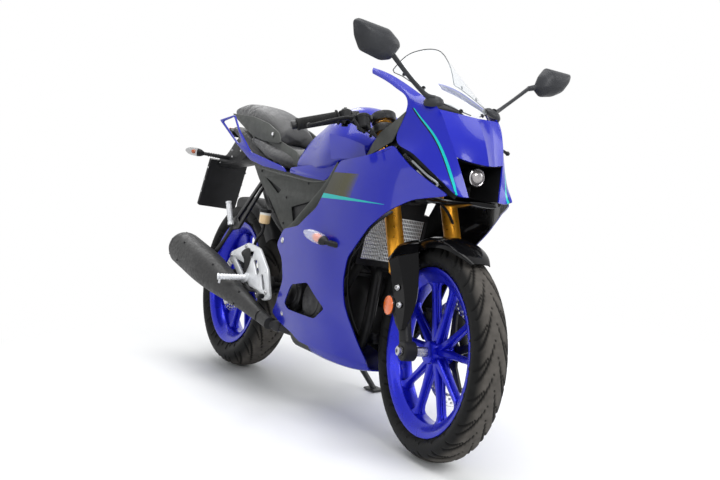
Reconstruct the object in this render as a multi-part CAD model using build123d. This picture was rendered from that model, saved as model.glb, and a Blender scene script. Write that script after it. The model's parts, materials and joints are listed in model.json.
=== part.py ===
from build123d import *
import math
import os

# A light sport motorcycle with a full fairing, parked leaning on its side stand.
# Millimetres: +X runs forward, +Y to the rider's left and +Z up. The machine is laid out upright and
# straight ahead, x = 0 at the rear axle and z = 0 on the ground. At the end the front end is steered
# a little, and the whole machine leans over on to its stand.

# Driving dimensions
WHEELBASE = 1325
SEAT_HEIGHT = 820
BODY_HALF_WIDTH = 200
TRAIL = 88
RAKE_ANGLE = 25.5
LEAN_ANGLE = 9.94
STEER_ANGLE = -5.5
FRONT_TYRE_RADIUS = 296
FRONT_TYRE_HALF_WIDTH = 50
REAR_TYRE_RADIUS = 314
REAR_TYRE_HALF_WIDTH = 70
FRONT_RIM_HALF_WIDTH = 40
REAR_RIM_HALF_WIDTH = 58
RIM_SEAT_RADIUS = 216
RIM_FLANGE = 16
TYRE_WALL = 8
AXLE_RADIUS = 9
BEARING_GAP = 0.3
SAME_POINT = 0.003
FLAT_SLACK = 0.00003
BODY_WALL = 4
OVERRUN = 5
BAR_SIDES = 10
WHEEL_SIDES = 30

# The body grid: stations along the wheelbase, levels up to the seat, breadths out to the fairing.
# Every table of body points below is in shares of these three spacings, as (x, y, z) or (x, z).
stations_share = 13.25
levels_share = 8.2
breadths_share = 2.0
STATION = WHEELBASE / stations_share
LEVEL = SEAT_HEIGHT / levels_share
BREADTH = BODY_HALF_WIDTH / breadths_share

UP = Vector(0, 0, 1)
LEFT = Vector(0, 1, 0)
CENTRE_PLANE = Plane.XZ


def place(point_shares):
    """A point of the body grid from its (x, y, z) shares."""
    x, y, z = point_shares
    return Vector(x * STATION, y * BREADTH, z * LEVEL)


def places(table_shares):
    return [place(row) for row in table_shares]


def mirrored(shape):
    return mirror(shape, about=CENTRE_PLANE)


def together(shapes):
    """One piece out of shapes that touch or overlap."""
    result = shapes[0]
    for shape in shapes[1:]:
        result = result + shape
    return result


def separate(shapes):
    """Solids of one node that don't touch."""
    return Compound([solid for shape in shapes for solid in shape.solids()])


def largest(shape):
    return max(shape.solids(), key=lambda solid: solid.volume)


def polygon(points):
    return Face(Wire.make_polygon(points, close=True))


def slab(outline_shares, inner, outer):
    """A plate between two distances from the centre plane, its side outline in (x, z) shares."""
    face = polygon([place((x, 0, z)) for x, z in outline_shares])
    return extrude(face.moved(Location((0, inner, 0))), amount=outer - inner, dir=LEFT)


def round_bar(start, end, radius):
    """A true cylinder, for what turns in a bearing, and for holes that take a round part."""
    run = end - start
    return Solid.make_cylinder(radius, run.length, Plane(origin=start, z_dir=run.normalized()))


def facets(rings, closed=False):
    """A flat-faced solid through rings of points that match one to one, capped unless it closes on itself."""
    count = len(rings[0])
    pairs = list(zip(rings, rings[1:]))
    if closed:
        pairs.append((rings[-1], rings[0]))
    faces = []
    for first, second in pairs:
        for number in range(count):
            after = (number + 1) % count
            corners = []
            for point in (first[number], first[after], second[after], second[number]):
                if all((point - other).length > SAME_POINT for other in corners):
                    corners.append(point)
            faces.extend(flat_pieces(corners))
    if not closed:
        faces.append(polygon(list(reversed(rings[0]))))
        faces.append(polygon(rings[-1]))
    solid = Solid(Shell(faces))
    if solid.volume < 0:
        return facets(list(reversed(rings)), closed)
    return solid


def flat_pieces(corners):
    """One face where the corners lie in a plane, else two triangles on the shorter diagonal."""
    if len(corners) < 3:
        return []
    if len(corners) == 3:
        return [polygon(corners)]
    a, b, c, d = corners
    normal = (b - a).cross(c - a)
    if normal.length > 0 and abs((d - a).dot(normal.normalized())) < FLAT_SLACK:
        return [polygon(corners)]
    if (a - c).length > (b - d).length:
        a, b, c, d = b, c, d, a
    return [polygon([a, b, c]), polygon([a, c, d])]


def ring(centre, direction, radius, sides=BAR_SIDES):
    """The corners of a regular polygon across a direction, the same way up for a given direction."""
    plane = Plane(origin=centre, z_dir=direction)
    turns = [2 * math.pi * (number + 1 / 2) / sides for number in range(sides)]
    return [centre + (plane.x_dir * math.cos(turn) + plane.y_dir * math.sin(turn)) * radius for turn in turns]


def rod(start, end, radius):
    direction = (end - start).normalized()
    return facets([ring(start, direction, radius), ring(end, direction, radius)])


def taper(start, end, start_radius, end_radius):
    direction = (end - start).normalized()
    return facets([ring(start, direction, start_radius), ring(end, direction, end_radius)])


def tube(points, radius):
    """A bar along straight runs, mitred where they meet."""
    direction = (points[1] - points[0]).normalized()
    rings = [ring(points[0], direction, radius)]
    for number in range(1, len(points)):
        onward = (points[min(number + 1, len(points) - 1)] - points[number])
        following = onward.normalized() if onward.length > 0 else direction
        across = (direction + following).normalized()
        last = rings[-1]
        moved = []
        for point in last:
            distance = (points[number] - point).dot(across) / direction.dot(across)
            moved.append(point + direction * distance)
        rings.append(moved)
        direction = following
    return facets(rings)


def hull(sections_shares):
    """A closed symmetric body through cross sections: (x, [(y, z), ...]) from its top to its bottom."""
    rings = []
    for x, half in sections_shares:
        right = [place((x, -y, z)) for y, z in half]
        left = [place((x, y, z)) for y, z in reversed(half) if y > 0]
        rings.append(right + left)
    return facets(rings)


def skin(nets, wall):
    """A thin shell behind nets of points. A net is rows of points, seen from outside running left to
    right, top row first. Nets that share edge points join into one shell."""
    corners, quads, slots = [], [], {}
    for net in nets:
        index = []
        for row in net:
            line = []
            for point in row:
                key = tuple(round(value / BEARING_GAP) for value in point)
                if key not in slots:
                    slots[key] = len(corners)
                    corners.append(point)
                line.append(slots[key])
            index.append(line)
        for upper, lower in zip(index, index[1:]):
            for a, b, c, d in zip(upper, upper[1:], lower[1:], lower):
                quads.append((a, d, c, b))
    triangles = []
    for a, b, c, d in quads:
        if (corners[a] - corners[c]).length > (corners[b] - corners[d]).length:
            a, b, c, d = b, c, d, a
        for trio in ((a, b, c), (a, c, d)):
            if len(set(trio)) == len(trio):
                triangles.append(trio)
    normals = [Vector(0, 0, 0) for _ in corners]
    for a, b, c in triangles:
        normal = (corners[b] - corners[a]).cross(corners[c] - corners[a]).normalized()
        for corner in (a, b, c):
            normals[corner] = normals[corner] + normal
    inner = [p - n.normalized() * wall for p, n in zip(corners, normals)]
    faces = []
    edges = set()
    for a, b, c in triangles:
        faces.append(polygon([corners[a], corners[b], corners[c]]))
        faces.append(polygon([inner[c], inner[b], inner[a]]))
        edges.update(((a, b), (b, c), (c, a)))
    for a, b in edges:
        if (b, a) not in edges:
            faces.append(polygon([corners[b], corners[a], inner[a]]))
            faces.append(polygon([corners[b], inner[a], inner[b]]))
    return Solid(Shell(faces))


# Steering geometry. The fork's own directions: along the steering axis, ahead of it, and to the side.
rake = math.radians(RAKE_ANGLE)
ALONG = Vector(-math.sin(rake), 0, math.cos(rake))
AHEAD = Vector(math.cos(rake), 0, math.sin(rake))
STEER_FOOT = Vector(WHEELBASE + TRAIL, 0, 0)
STEER_AXIS = Axis(STEER_FOOT, ALONG)
FRONT_AXLE = Vector(WHEELBASE, 0, FRONT_TYRE_RADIUS)
REAR_AXLE = Vector(0, 0, REAR_TYRE_RADIUS)
AXLE_RISE = (FRONT_AXLE - STEER_FOOT).dot(ALONG)
AXLE_LEAD = (FRONT_AXLE - STEER_FOOT).dot(AHEAD)


def fork(ahead, side, rise):
    """A point of the front end: ahead of the steering axis, to the left, and up from the axle."""
    return STEER_FOOT + ALONG * (AXLE_RISE + rise) + AHEAD * ahead + LEFT * side


# Wheels
HUB_RADIUS = 32
FRONT_HUB_HALF_WIDTH = 38
REAR_HUB_HALF_WIDTH = 50
RIM_WALL = 7
RIM_WELL_DEPTH = 16
SPOKE_PAIRS = 5
SPOKE_ROOT_HALF = 11
SPOKE_TIP_HALF = 8
SPOKE_DEPTH = 26
# (y, rise) of the tyre's outer half section, in shares of its half width and section height
tread_shares = [(0, 1), (0.42, 0.965), (0.76, 0.85), (0.95, 0.68), (1, 0.53), (0.93, 0.36)]
spoke_spread_share = 0.22
spoke_root_share = 0.09


def spun(profile):
    """A many-sided ring about the wheel's own axle through the origin, from its (y, radius) profile."""
    return facets(turned(profile, 0, 360, WHEEL_SIDES), closed=True)


def turned(profile, start_angle, sweep_angle, steps):
    """The (y, radius) profile at even steps round the Y axis, up at angle 0 and forward at 90."""
    rings = []
    for number in range(steps if sweep_angle == 360 else steps + 1):
        turn = math.radians(start_angle + sweep_angle * number / steps)
        rings.append([Vector(math.sin(turn) * radius, y, math.cos(turn) * radius) for y, radius in profile])
    return rings


def both_sides(half):
    """A whole (y, radius) profile from the half with y from 0 out."""
    return half + [(-y, radius) for y, radius in reversed(half) if y > 0]


def tyre(radius, half_width, rim_half_width):
    height = radius - RIM_SEAT_RADIUS
    bead = rim_half_width - RIM_WALL
    outer = [(y * half_width, RIM_SEAT_RADIUS + rise * height) for y, rise in tread_shares]
    outer = outer + [(bead, RIM_SEAT_RADIUS + RIM_FLANGE), (bead, RIM_SEAT_RADIUS)]
    inner = [
        (bead - TYRE_WALL, RIM_SEAT_RADIUS),
        (half_width - TYRE_WALL, RIM_SEAT_RADIUS + height / 2),
        (half_width / 2, radius - 2 * TYRE_WALL),
        (0, radius - TYRE_WALL),
    ]
    return spun(both_sides(outer + inner))


def rim(half_width, hub_half_width):
    flange = RIM_SEAT_RADIUS + RIM_FLANGE
    inside = half_width - RIM_WALL
    well = RIM_SEAT_RADIUS - RIM_WELL_DEPTH
    half_well = half_width / 3
    barrel = [
        (0, well),
        (half_well, well),
        (inside - TYRE_WALL, RIM_SEAT_RADIUS),
        (inside, RIM_SEAT_RADIUS),
        (inside, flange),
        (half_width, flange),
        (half_width, RIM_SEAT_RADIUS - RIM_WALL),
        (half_well + RIM_WALL, well - RIM_WALL),
        (0, well - RIM_WALL),
    ]
    hub = rod(LEFT * -hub_half_width, LEFT * hub_half_width, HUB_RADIUS)
    pieces = [spun(both_sides(barrel)), hub]
    reach = well - RIM_WALL / 2
    pitch = 2 * math.pi / SPOKE_PAIRS
    for number in range(SPOKE_PAIRS):
        for side in (-1, 1):
            root_turn = number * pitch + side * spoke_root_share * pitch
            tip_turn = number * pitch + side * spoke_spread_share * pitch
            pieces.append(spoke(root_turn, tip_turn, reach))
    reach = LEFT * (2 * hub_half_width)
    return together(pieces) - round_bar(-reach, reach, AXLE_RADIUS + BEARING_GAP)


def spoke(root_turn, tip_turn, reach):
    """One cast spoke, wide at the hub and slender at the rim."""
    root = Vector(math.sin(root_turn), 0, math.cos(root_turn)) * (HUB_RADIUS * 2 / 3)
    tip = Vector(math.sin(tip_turn), 0, math.cos(tip_turn)) * reach
    run = (tip - root).normalized()
    across = run.cross(LEFT)
    deep = LEFT * (SPOKE_DEPTH / 2)
    rings = []
    for point, half in ((root, SPOKE_ROOT_HALF), (tip, SPOKE_TIP_HALF)):
        wide = across * half
        rings.append([point - deep - wide, point + deep - wide, point + deep + wide, point - deep + wide])
    return facets(rings)


# Brake discs, calipers, sprocket and chain
FRONT_DISC_RADIUS = 146
REAR_DISC_RADIUS = 110
DISC_THICKNESS = 4.5
DISC_BAND = 34
DISC_HOLE_RADIUS = 4.5
DISC_HOLES = 6
DISC_GAP = 4
CARRIER_ARMS = 5
CARRIER_ARM_WIDTH = 20
SPROCKET_RADIUS = 92
DRIVE_SPROCKET_RADIUS = 30
SPROCKET_THICKNESS = 6
SPROCKET_WINDOW_RADIUS = 15
CHAIN_WIDTH = 16
CHAIN_HEIGHT = 14
CHAIN_GAP = 2
CHAIN_LINE = 83
CHAIN_ARC_STEPS = 10
CALIPER_WIDTH = 62
PAD_GAP = 1.5
CALIPER_DEPTH = 52
CALIPER_CHAMFER = 10.4
CALIPER_LENGTH = 110


def disc(radius, side, hub_half_width):
    """A drilled disc on a spoked carrier that seats on the hub's end."""
    seat = side * hub_half_width
    face = seat + side * DISC_GAP
    low = min(face, face + side * DISC_THICKNESS)
    high = low + DISC_THICKNESS
    band = spun([(low, radius), (high, radius), (high, radius - DISC_BAND), (low, radius - DISC_BAND)])
    holes = []
    for number in range(DISC_HOLES):
        turn = 2 * math.pi * number / DISC_HOLES
        out = radius - DISC_BAND * (1 + number % 2) / 3
        centre = Vector(math.sin(turn) * out, low - OVERRUN, math.cos(turn) * out)
        holes.append(rod(centre, centre + LEFT * (DISC_THICKNESS + 2 * OVERRUN), DISC_HOLE_RADIUS))
    band = band - Compound(holes)
    depth = DISC_GAP + DISC_THICKNESS
    carrier = rod(LEFT * seat, LEFT * (seat + side * depth), HUB_RADIUS)
    pieces = [band, carrier]
    for number in range(CARRIER_ARMS):
        arm = Pos(0, low + DISC_THICKNESS / 2, (radius - DISC_BAND / 2) / 2) * Box(
            CARRIER_ARM_WIDTH, DISC_THICKNESS, radius - DISC_BAND / 2
        )
        pieces.append(arm.rotate(Axis.Y, 360 * number / CARRIER_ARMS))
    whole = together(pieces)
    return whole - round_bar(LEFT * (seat - depth * 2), LEFT * (seat + depth * 2), AXLE_RADIUS + BEARING_GAP)


def sprocket():
    """The driven sprocket on the left of the rear hub, lightened by round windows."""
    start = Vector(0, CHAIN_LINE - SPROCKET_THICKNESS / 2, 0)
    end = start.Y + SPROCKET_THICKNESS
    hollow = HUB_RADIUS / 2
    plate = spun([(start.Y, SPROCKET_RADIUS), (end, SPROCKET_RADIUS), (end, hollow), (start.Y, hollow)])
    root = Vector(0, REAR_HUB_HALF_WIDTH, 0)
    plate = plate + rod(root, start + LEFT * SPROCKET_THICKNESS, HUB_RADIUS)
    windows = []
    for number in range(CARRIER_ARMS):
        turn = 2 * math.pi * number / CARRIER_ARMS
        out = (SPROCKET_RADIUS + HUB_RADIUS) / 2
        centre = Vector(math.sin(turn) * out, CHAIN_LINE - SPROCKET_THICKNESS, math.cos(turn) * out)
        windows.append(rod(centre, centre + LEFT * (2 * SPROCKET_THICKNESS), SPROCKET_WINDOW_RADIUS))
    reach = LEFT * (SPROCKET_THICKNESS + OVERRUN)
    bore = round_bar(root - LEFT * OVERRUN, start + reach, AXLE_RADIUS + BEARING_GAP)
    return plate - Compound(windows) - bore


def loop_band(inner_growth, outer_growth, half_width):
    """A closed belt round both sprockets, between two distances outside their tips."""
    drive = place(drive_sprocket_share)
    centre = Vector(drive.X, CHAIN_LINE, drive.Z)
    rear = Vector(REAR_AXLE.X, CHAIN_LINE, REAR_AXLE.Z)
    span = centre - rear
    distance = math.hypot(span.X, span.Z)
    slope = math.atan2(span.Z, span.X)
    lift = math.acos((SPROCKET_RADIUS - DRIVE_SPROCKET_RADIUS) / distance)
    bands = []
    for growth in (outer_growth, inner_growth):
        ends = []
        for side in (1, -1):
            turn = slope + side * lift
            out = Vector(math.cos(turn), 0, math.sin(turn))
            back_end = rear + out * (SPROCKET_RADIUS + growth)
            ends.append((back_end, centre + out * (DRIVE_SPROCKET_RADIUS + growth)))
        direction = Vector(math.cos(slope), 0, math.sin(slope))
        back = rear - direction * (SPROCKET_RADIUS + growth)
        front = centre + direction * (DRIVE_SPROCKET_RADIUS + growth)
        round_front = ThreePointArc(ends[0][1], front, ends[1][1])
        round_back = ThreePointArc(ends[1][0], back, ends[0][0])
        shares = [number / CHAIN_ARC_STEPS for number in range(CHAIN_ARC_STEPS + 1)]
        face = polygon([round_front @ share for share in shares] + [round_back @ share for share in shares])
        bands.append(extrude(face.moved(Location((0, -half_width, 0))), amount=2 * half_width, dir=LEFT))
    return bands[0] - bands[1]


def chain():
    """The drive chain as one closed loop: two rows of side plates joined by its rollers' band."""
    outside = loop_band(CHAIN_GAP, CHAIN_GAP + CHAIN_HEIGHT, CHAIN_WIDTH / 2)
    return outside


drive_sprocket_share = (4.9, 0, 3.55)


def caliper(radius, side, face, turn):
    """A two-pad brake caliper that straddles its disc, at an angle back from straight up."""
    inner = radius - DISC_BAND
    body = Pos(0, 0, inner + CALIPER_DEPTH / 2) * Box(CALIPER_LENGTH, CALIPER_WIDTH, CALIPER_DEPTH)
    body = chamfer(body.edges().filter_by(Axis.Y), CALIPER_CHAMFER)
    slot_width = DISC_THICKNESS + 2 * PAD_GAP
    slot_top = radius + 2 * PAD_GAP
    half = slot_width / 2
    slot = spun([(-half, slot_top), (half, slot_top), (half, slot_top / 2), (-half, slot_top / 2)])
    body = body - slot
    return body.rotate(Axis.Y, turn).moved(Location((0, face, 0)))


# Frame, subframe and swingarm
HEAD_TUBE_RADIUS = 30
STEM_RADIUS = 17
HEAD_TUBE_BOTTOM = 512
HEAD_TUBE_TOP = 640
SPAR_THICKNESS = 26
SPAR_INSET = 60
RAIL_RADIUS = 12
PIVOT_RADIUS = 10
SWINGARM_THICKNESS = 24
SWINGARM_INNER = 94
STAND_BOLT_RADIUS = 3
STAND_BOLT_DEPTH = 16
spar_shares = [
    (9.7, 8.15), (9.9, 7.0), (7.4, 6.3), (6.1, 5.2), (5.2, 4.3), (5.0, 3.3), (4.4, 2.7), (3.9, 3.0),
    (3.95, 4.4), (4.5, 6.0), (5.2, 6.8), (7.2, 7.15), (9.0, 7.7),
]
neck_end_shares = [(9.5, 0, 7.85), (9.6, 0, 7.25)]
swing_pivot_share = (4.2, 0, 3.5)
rail_top_shares = [(5.3, -0.6, 6.7), (3.2, -0.66, 7.1), (0.6, -0.55, 8.0), (-2.0, -0.3, 8.72)]
rail_low_shares = [(4.4, -0.6, 5.2), (2.9, -0.7, 5.95), (0.55, -0.56, 7.96)]
swing_beam_shares = [
    (-0.45, 2.95), (-0.5, 3.3), (0.3, 3.55), (3.2, 3.9), (4.2, 3.8), (4.5, 3.5), (4.35, 3.2), (3.4, 3.15),
    (0.3, 2.85),
]


def main_frame():
    head = rod(fork(0, 0, HEAD_TUBE_BOTTOM), fork(0, 0, HEAD_TUBE_TOP), HEAD_TUBE_RADIUS)
    spar = slab(spar_shares, SPAR_INSET - SPAR_THICKNESS, SPAR_INSET)
    neck_high = fork(-HEAD_TUBE_RADIUS / 2, 0, HEAD_TUBE_TOP - HEAD_TUBE_RADIUS)
    neck_low = fork(-HEAD_TUBE_RADIUS / 2, 0, HEAD_TUBE_BOTTOM + HEAD_TUBE_RADIUS)
    middle = SPAR_INSET - SPAR_THICKNESS / 2
    joins = []
    for neck, spar_share in zip((neck_high, neck_low), neck_end_shares):
        end = place(spar_share)
        joins.append(rod(neck, Vector(end.X, middle, end.Z), HEAD_TUBE_RADIUS / 2))
        joins.append(rod(neck, Vector(end.X, -middle, end.Z), HEAD_TUBE_RADIUS / 2))
    pivot = place(swing_pivot_share)
    bolt = SWINGARM_INNER + SWINGARM_THICKNESS + OVERRUN
    lugs = rod(pivot - LEFT * SWINGARM_INNER, pivot + LEFT * SWINGARM_INNER, PIVOT_RADIUS * 3 / 2)
    pin = rod(pivot - LEFT * bolt, pivot + LEFT * bolt, PIVOT_RADIUS)
    whole = together([head, spar, mirrored(spar), lugs, pin] + joins)
    ends = fork(0, 0, HEAD_TUBE_BOTTOM - OVERRUN), fork(0, 0, HEAD_TUBE_TOP + OVERRUN)
    bore = round_bar(*ends, STEM_RADIUS + BEARING_GAP)
    return whole - bore


def subframe():
    high = tube(places(rail_top_shares), RAIL_RADIUS)
    low = tube(places(rail_low_shares), RAIL_RADIUS)
    pieces = [high, low, mirrored(high), mirrored(low)]
    for share in (rail_top_shares[1], rail_top_shares[2]):
        side = place(share)
        pieces.append(rod(side, Vector(side.X, -side.Y, side.Z), RAIL_RADIUS * 2 / 3))
    return together(pieces) - main_frame()


def swingarm():
    """Two box beams with a cross member ahead of the tyre, threaded at the rear for a paddock stand."""
    beam = slab(swing_beam_shares, SWINGARM_INNER, SWINGARM_INNER + SWINGARM_THICKNESS)
    cross = slab(swing_cross_shares, -SWINGARM_INNER, SWINGARM_INNER)
    eye = place(shock_low_share)
    lug = rod(eye - LEFT * SHOCK_LUG_HALF, eye + LEFT * SHOCK_LUG_HALF, SHOCK_EYE_RADIUS)
    link = slab(shock_link_shares, -SHOCK_LUG_HALF, SHOCK_LUG_HALF)
    whole = together([beam, mirrored(beam), cross, link, lug])
    reach = SWINGARM_INNER + SWINGARM_THICKNESS + OVERRUN
    pivot = place(swing_pivot_share)
    whole = whole - rod(REAR_AXLE - LEFT * reach, REAR_AXLE + LEFT * reach, AXLE_RADIUS)
    whole = whole - rod(pivot - LEFT * reach, pivot + LEFT * reach, PIVOT_RADIUS)
    bolt = place(stand_bolt_share)
    for side in (-1, 1):
        face = Vector(bolt.X, side * (SWINGARM_INNER + SWINGARM_THICKNESS), bolt.Z)
        outside = face + LEFT * side * OVERRUN
        whole = whole - round_bar(outside, face - LEFT * side * STAND_BOLT_DEPTH, STAND_BOLT_RADIUS)
    return whole


swing_cross_shares = [(3.35, 3.2), (3.4, 3.75), (3.8, 3.75), (3.8, 3.25)]
shock_link_shares = [(3.42, 3.7), (3.42, 4.4), (3.68, 4.4), (3.78, 3.7)]
stand_bolt_share = (0.75, 0, 3.25)


def rear_axle():
    reach = SWINGARM_INNER + SWINGARM_THICKNESS
    nut = AXLE_RADIUS * 3 / 2
    bar = rod(REAR_AXLE - LEFT * (reach + nut), REAR_AXLE + LEFT * (reach + nut), AXLE_RADIUS)
    pieces = [bar]
    starts = ((-1, REAR_HUB_HALF_WIDTH + DISC_GAP + DISC_THICKNESS), (1, CHAIN_LINE + SPROCKET_THICKNESS / 2))
    for side, start in starts:
        inner = REAR_AXLE + LEFT * side * (start + BEARING_GAP * 3)
        pieces.append(rod(inner, REAR_AXLE + LEFT * side * SWINGARM_INNER, nut))
        outer = REAR_AXLE + LEFT * side * reach
        pieces.append(rod(outer, outer + LEFT * side * nut, nut))
    return together(pieces)


# Rear shock
SHOCK_EYE_RADIUS = 14
SHOCK_LUG_HALF = 16
SHOCK_ROD_RADIUS = 9
SPRING_RADIUS = 26
SPRING_WIRE_RADIUS = 5
SPRING_TURNS = 4
shock_low_share = (3.55, 0, 4.4)
shock_top_share = (4.75, 0, 6.15)


def rear_shock():
    low = place(shock_low_share)
    top = place(shock_top_share)
    run = (top - low).normalized()
    length = (top - low).length
    seat = low + run * (SHOCK_EYE_RADIUS * 2)
    collar = top - run * (SHOCK_EYE_RADIUS * 2)
    bolt = SPAR_INSET - SPAR_THICKNESS
    pieces = [
        rod(low + run * SHOCK_EYE_RADIUS, top, SHOCK_ROD_RADIUS),
        rod(seat, seat + run * SHOCK_ROD_RADIUS, SPRING_RADIUS + SPRING_WIRE_RADIUS),
        rod(collar - run * SHOCK_ROD_RADIUS, collar, SPRING_RADIUS + SPRING_WIRE_RADIUS),
        rod(seat, collar, SPRING_RADIUS * 2 / 3),
        rod(top - LEFT * SHOCK_LUG_HALF, top + LEFT * SHOCK_LUG_HALF, SHOCK_EYE_RADIUS),
        rod(top - LEFT * bolt, top + LEFT * bolt, SHOCK_ROD_RADIUS),
    ]
    pitch = (length - 4 * SHOCK_EYE_RADIUS) / (SPRING_TURNS + 1)
    for turn in range(SPRING_TURNS):
        centre = seat + run * pitch * (turn + 1)
        pieces.append(rod(centre, centre + run * SPRING_WIRE_RADIUS, SPRING_RADIUS))
    return together(pieces)


# Side stand
STAND_LEG_RADIUS = 11
STAND_PIVOT_RADIUS = 9
STAND_FOOT_LENGTH = 70
STAND_FOOT_WIDTH = 44
STAND_FOOT_THICKNESS = 8
STAND_EYE_THICKNESS = 24
STAND_CLEARANCE = 0.5
stand_pivot_share = (5.0, 1.28, 2.5)
stand_foot_reach_share = (6.15, 2.55)
stand_folded_share = (-1, 0.1, 0.02)
lean = math.radians(LEAN_ANGLE)
FLOOR_UP = Vector(0, -math.sin(lean), math.cos(lean))


def stand_foot_point():
    """The middle of the stand's sole, on the floor that the leaning machine meets."""
    x, y = stand_foot_reach_share
    out = y * BREADTH
    return Vector(x * STATION, out, out * math.tan(lean))


STAND_PIVOT = place(stand_pivot_share)
STAND_RUN = (stand_foot_point() - STAND_PIVOT).normalized()
STAND_FOLDED = Vector(*stand_folded_share).normalized()
STAND_HINGE = STAND_RUN.cross(STAND_FOLDED).normalized()


def side_stand():
    foot = stand_foot_point()
    sole = Plane(origin=foot, x_dir=(1, 0, 0), z_dir=FLOOR_UP)
    pad = Box(STAND_FOOT_LENGTH, STAND_FOOT_WIDTH, STAND_FOOT_THICKNESS)
    pad = sole * Pos(0, 0, STAND_FOOT_THICKNESS / 2) * pad
    ankle = foot + FLOOR_UP * STAND_FOOT_THICKNESS / 2 - STAND_RUN * STAND_LEG_RADIUS
    half = STAND_HINGE * (STAND_EYE_THICKNESS / 2)
    eye = rod(STAND_PIVOT - half, STAND_PIVOT + half, 2 * STAND_PIVOT_RADIUS)
    far = 2 * STAND_FOOT_LENGTH
    below = sole * Pos(0, 0, -far / 2) * Box(far, far, far)
    leg = rod(STAND_PIVOT, ankle, STAND_LEG_RADIUS) - below
    whole = together([pad, leg, eye])
    return whole - round_bar(STAND_PIVOT - half * 3, STAND_PIVOT + half * 3, STAND_PIVOT_RADIUS + BEARING_GAP)


def stand_bracket():
    """The two lugs that carry the stand's hinge bolt, and the plate to the frame."""
    half = STAND_EYE_THICKNESS / 2
    reach = STAND_HINGE * (2 * half)
    pin = round_bar(STAND_PIVOT - reach, STAND_PIVOT + reach, STAND_PIVOT_RADIUS)
    inside = STAND_PIVOT - STAND_HINGE * (half + STAND_CLEARANCE)
    lug = rod(inside, inside - STAND_HINGE * half, 2 * STAND_PIVOT_RADIUS)
    root = place(stand_root_share)
    arm = rod(inside - STAND_HINGE * (half + STAND_CLEARANCE), root, STAND_LEG_RADIUS)
    return largest(together([pin, lug, arm]) - engine() - main_frame())


stand_root_share = (4.6, 0.8, 2.9)


# Engine, radiator and exhaust
ENGINE_HALF_WIDTH = 105
COVER_RADIUS = 68
COVER_THICKNESS = 32
RADIATOR_HALF_WIDTH = 110
PIPE_RADIUS = 18
engine_shares = [
    (5.5, 2.4), (5.5, 4.1), (6.3, 4.95), (7.3, 5.1), (7.9, 6.1), (9.0, 5.7), (8.7, 4.5), (8.95, 4.0),
    (9.05, 2.8), (8.6, 2.4),
]
cover_shares = [(7.9, 3.5), (6.35, 3.6)]
radiator_shares = [(9.55, 4.95), (9.85, 4.9), (10.15, 6.65), (9.85, 6.7)]
pipe_shares = [
    (8.9, 0, 5.0), (9.42, 0, 4.5), (9.4, -0.15, 2.6), (8.7, -0.25, 2.1),
    (6.9, -0.25, 2.12), (6.1, -0.35, 2.13), (5.2, -1.5, 2.38),
]


def engine():
    block = slab(engine_shares, -ENGINE_HALF_WIDTH, ENGINE_HALF_WIDTH)
    covers = []
    for x, z in cover_shares:
        centre = place((x, 0, z))
        reach = ENGINE_HALF_WIDTH + COVER_THICKNESS
        covers.append(rod(centre - LEFT * reach, centre + LEFT * reach, COVER_RADIUS))
    return together([block] + covers)


def radiator():
    return slab(radiator_shares, -RADIATOR_HALF_WIDTH, RADIATOR_HALF_WIDTH)


def exhaust_pipe():
    return tube(places(pipe_shares), PIPE_RADIUS) - muffler() - engine()


# Muffler: eight-sided sections along its length as (x, y, z, radius share of its own radius)
MUFFLER_RADIUS = 62
muffler_shares = [
    (5.3, -1.48, 2.38, 0.33), (4.2, -1.55, 2.64, 0.4), (2.6, -1.68, 3.02, 0.62), (0.3, -1.9, 3.58, 1.0),
    (-2.9, -1.98, 4.15, 1.04), (-3.4, -2.0, 4.25, 0.8),
]


def muffler():
    forward = Vector(1, 0, 0)
    rings = [ring(place((x, y, z)), forward, MUFFLER_RADIUS * share) for x, y, z, share in muffler_shares]
    can = facets(rings)
    end = place(muffler_shares[-1][:3])
    outlet = rod(end - Vector(OVERRUN, 0, 0), end + Vector(MUFFLER_RADIUS, 0, 0), PIPE_RADIUS)
    return can - outlet


# Tank, seats and tail, as cross sections (x, [(y, z), ...]) of their left half from top to bottom
tank_shares = [
    (4.9, [(0, 8.4), (0.6, 8.35), (0.8, 8.0), (0.8, 7.5), (0, 7.5)]),
    (5.5, [(0, 8.95), (0.75, 8.8), (1.05, 8.2), (1.05, 7.5), (0, 7.5)]),
    (6.5, [(0, 9.65), (0.95, 9.4), (1.35, 8.6), (1.3, 7.6), (0, 7.5)]),
    (7.6, [(0, 9.8), (1.0, 9.5), (1.5, 8.7), (1.5, 7.8), (0, 7.6)]),
    (8.5, [(0, 9.5), (0.8, 9.2), (1.35, 8.5), (1.4, 7.9), (0, 7.8)]),
    (9.1, [(0, 9.0), (0.45, 8.85), (0.8, 8.5), (0.8, 8.2), (0, 8.2)]),
]
seat_shares = [
    (1.3, [(0, 8.62), (0.8, 8.6), (1.0, 8.45), (0.95, 8.3), (0, 8.25)]),
    (2.2, [(0, 8.35), (0.9, 8.3), (1.12, 8.1), (1.05, 7.95), (0, 7.95)]),
    (3.4, [(0, 8.2), (0.8, 8.14), (1.02, 7.9), (0.95, 7.72), (0, 7.72)]),
    (4.3, [(0, 8.2), (0.6, 8.14), (0.8, 7.85), (0.75, 7.6), (0, 7.6)]),
    (4.85, [(0, 8.35), (0.45, 8.3), (0.62, 7.95), (0.6, 7.6), (0, 7.6)]),
]
pillion_shares = [
    (-3.2, [(0, 9.95), (0.5, 9.9), (0.7, 9.7), (0.5, 9.45), (0, 9.4)]),
    (-1.6, [(0, 10.0), (0.65, 9.92), (0.85, 9.65), (0.7, 9.2), (0, 9.15)]),
    (0.2, [(0, 9.88), (0.7, 9.78), (0.95, 9.4), (0.85, 8.95), (0, 8.9)]),
    (1.4, [(0, 9.65), (0.65, 9.5), (0.95, 9.0), (0.85, 8.75), (0, 8.75)]),
    (2.2, [(0, 9.1), (0.5, 8.98), (0.7, 8.78), (0.65, 8.72), (0, 8.72)]),
]
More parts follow.
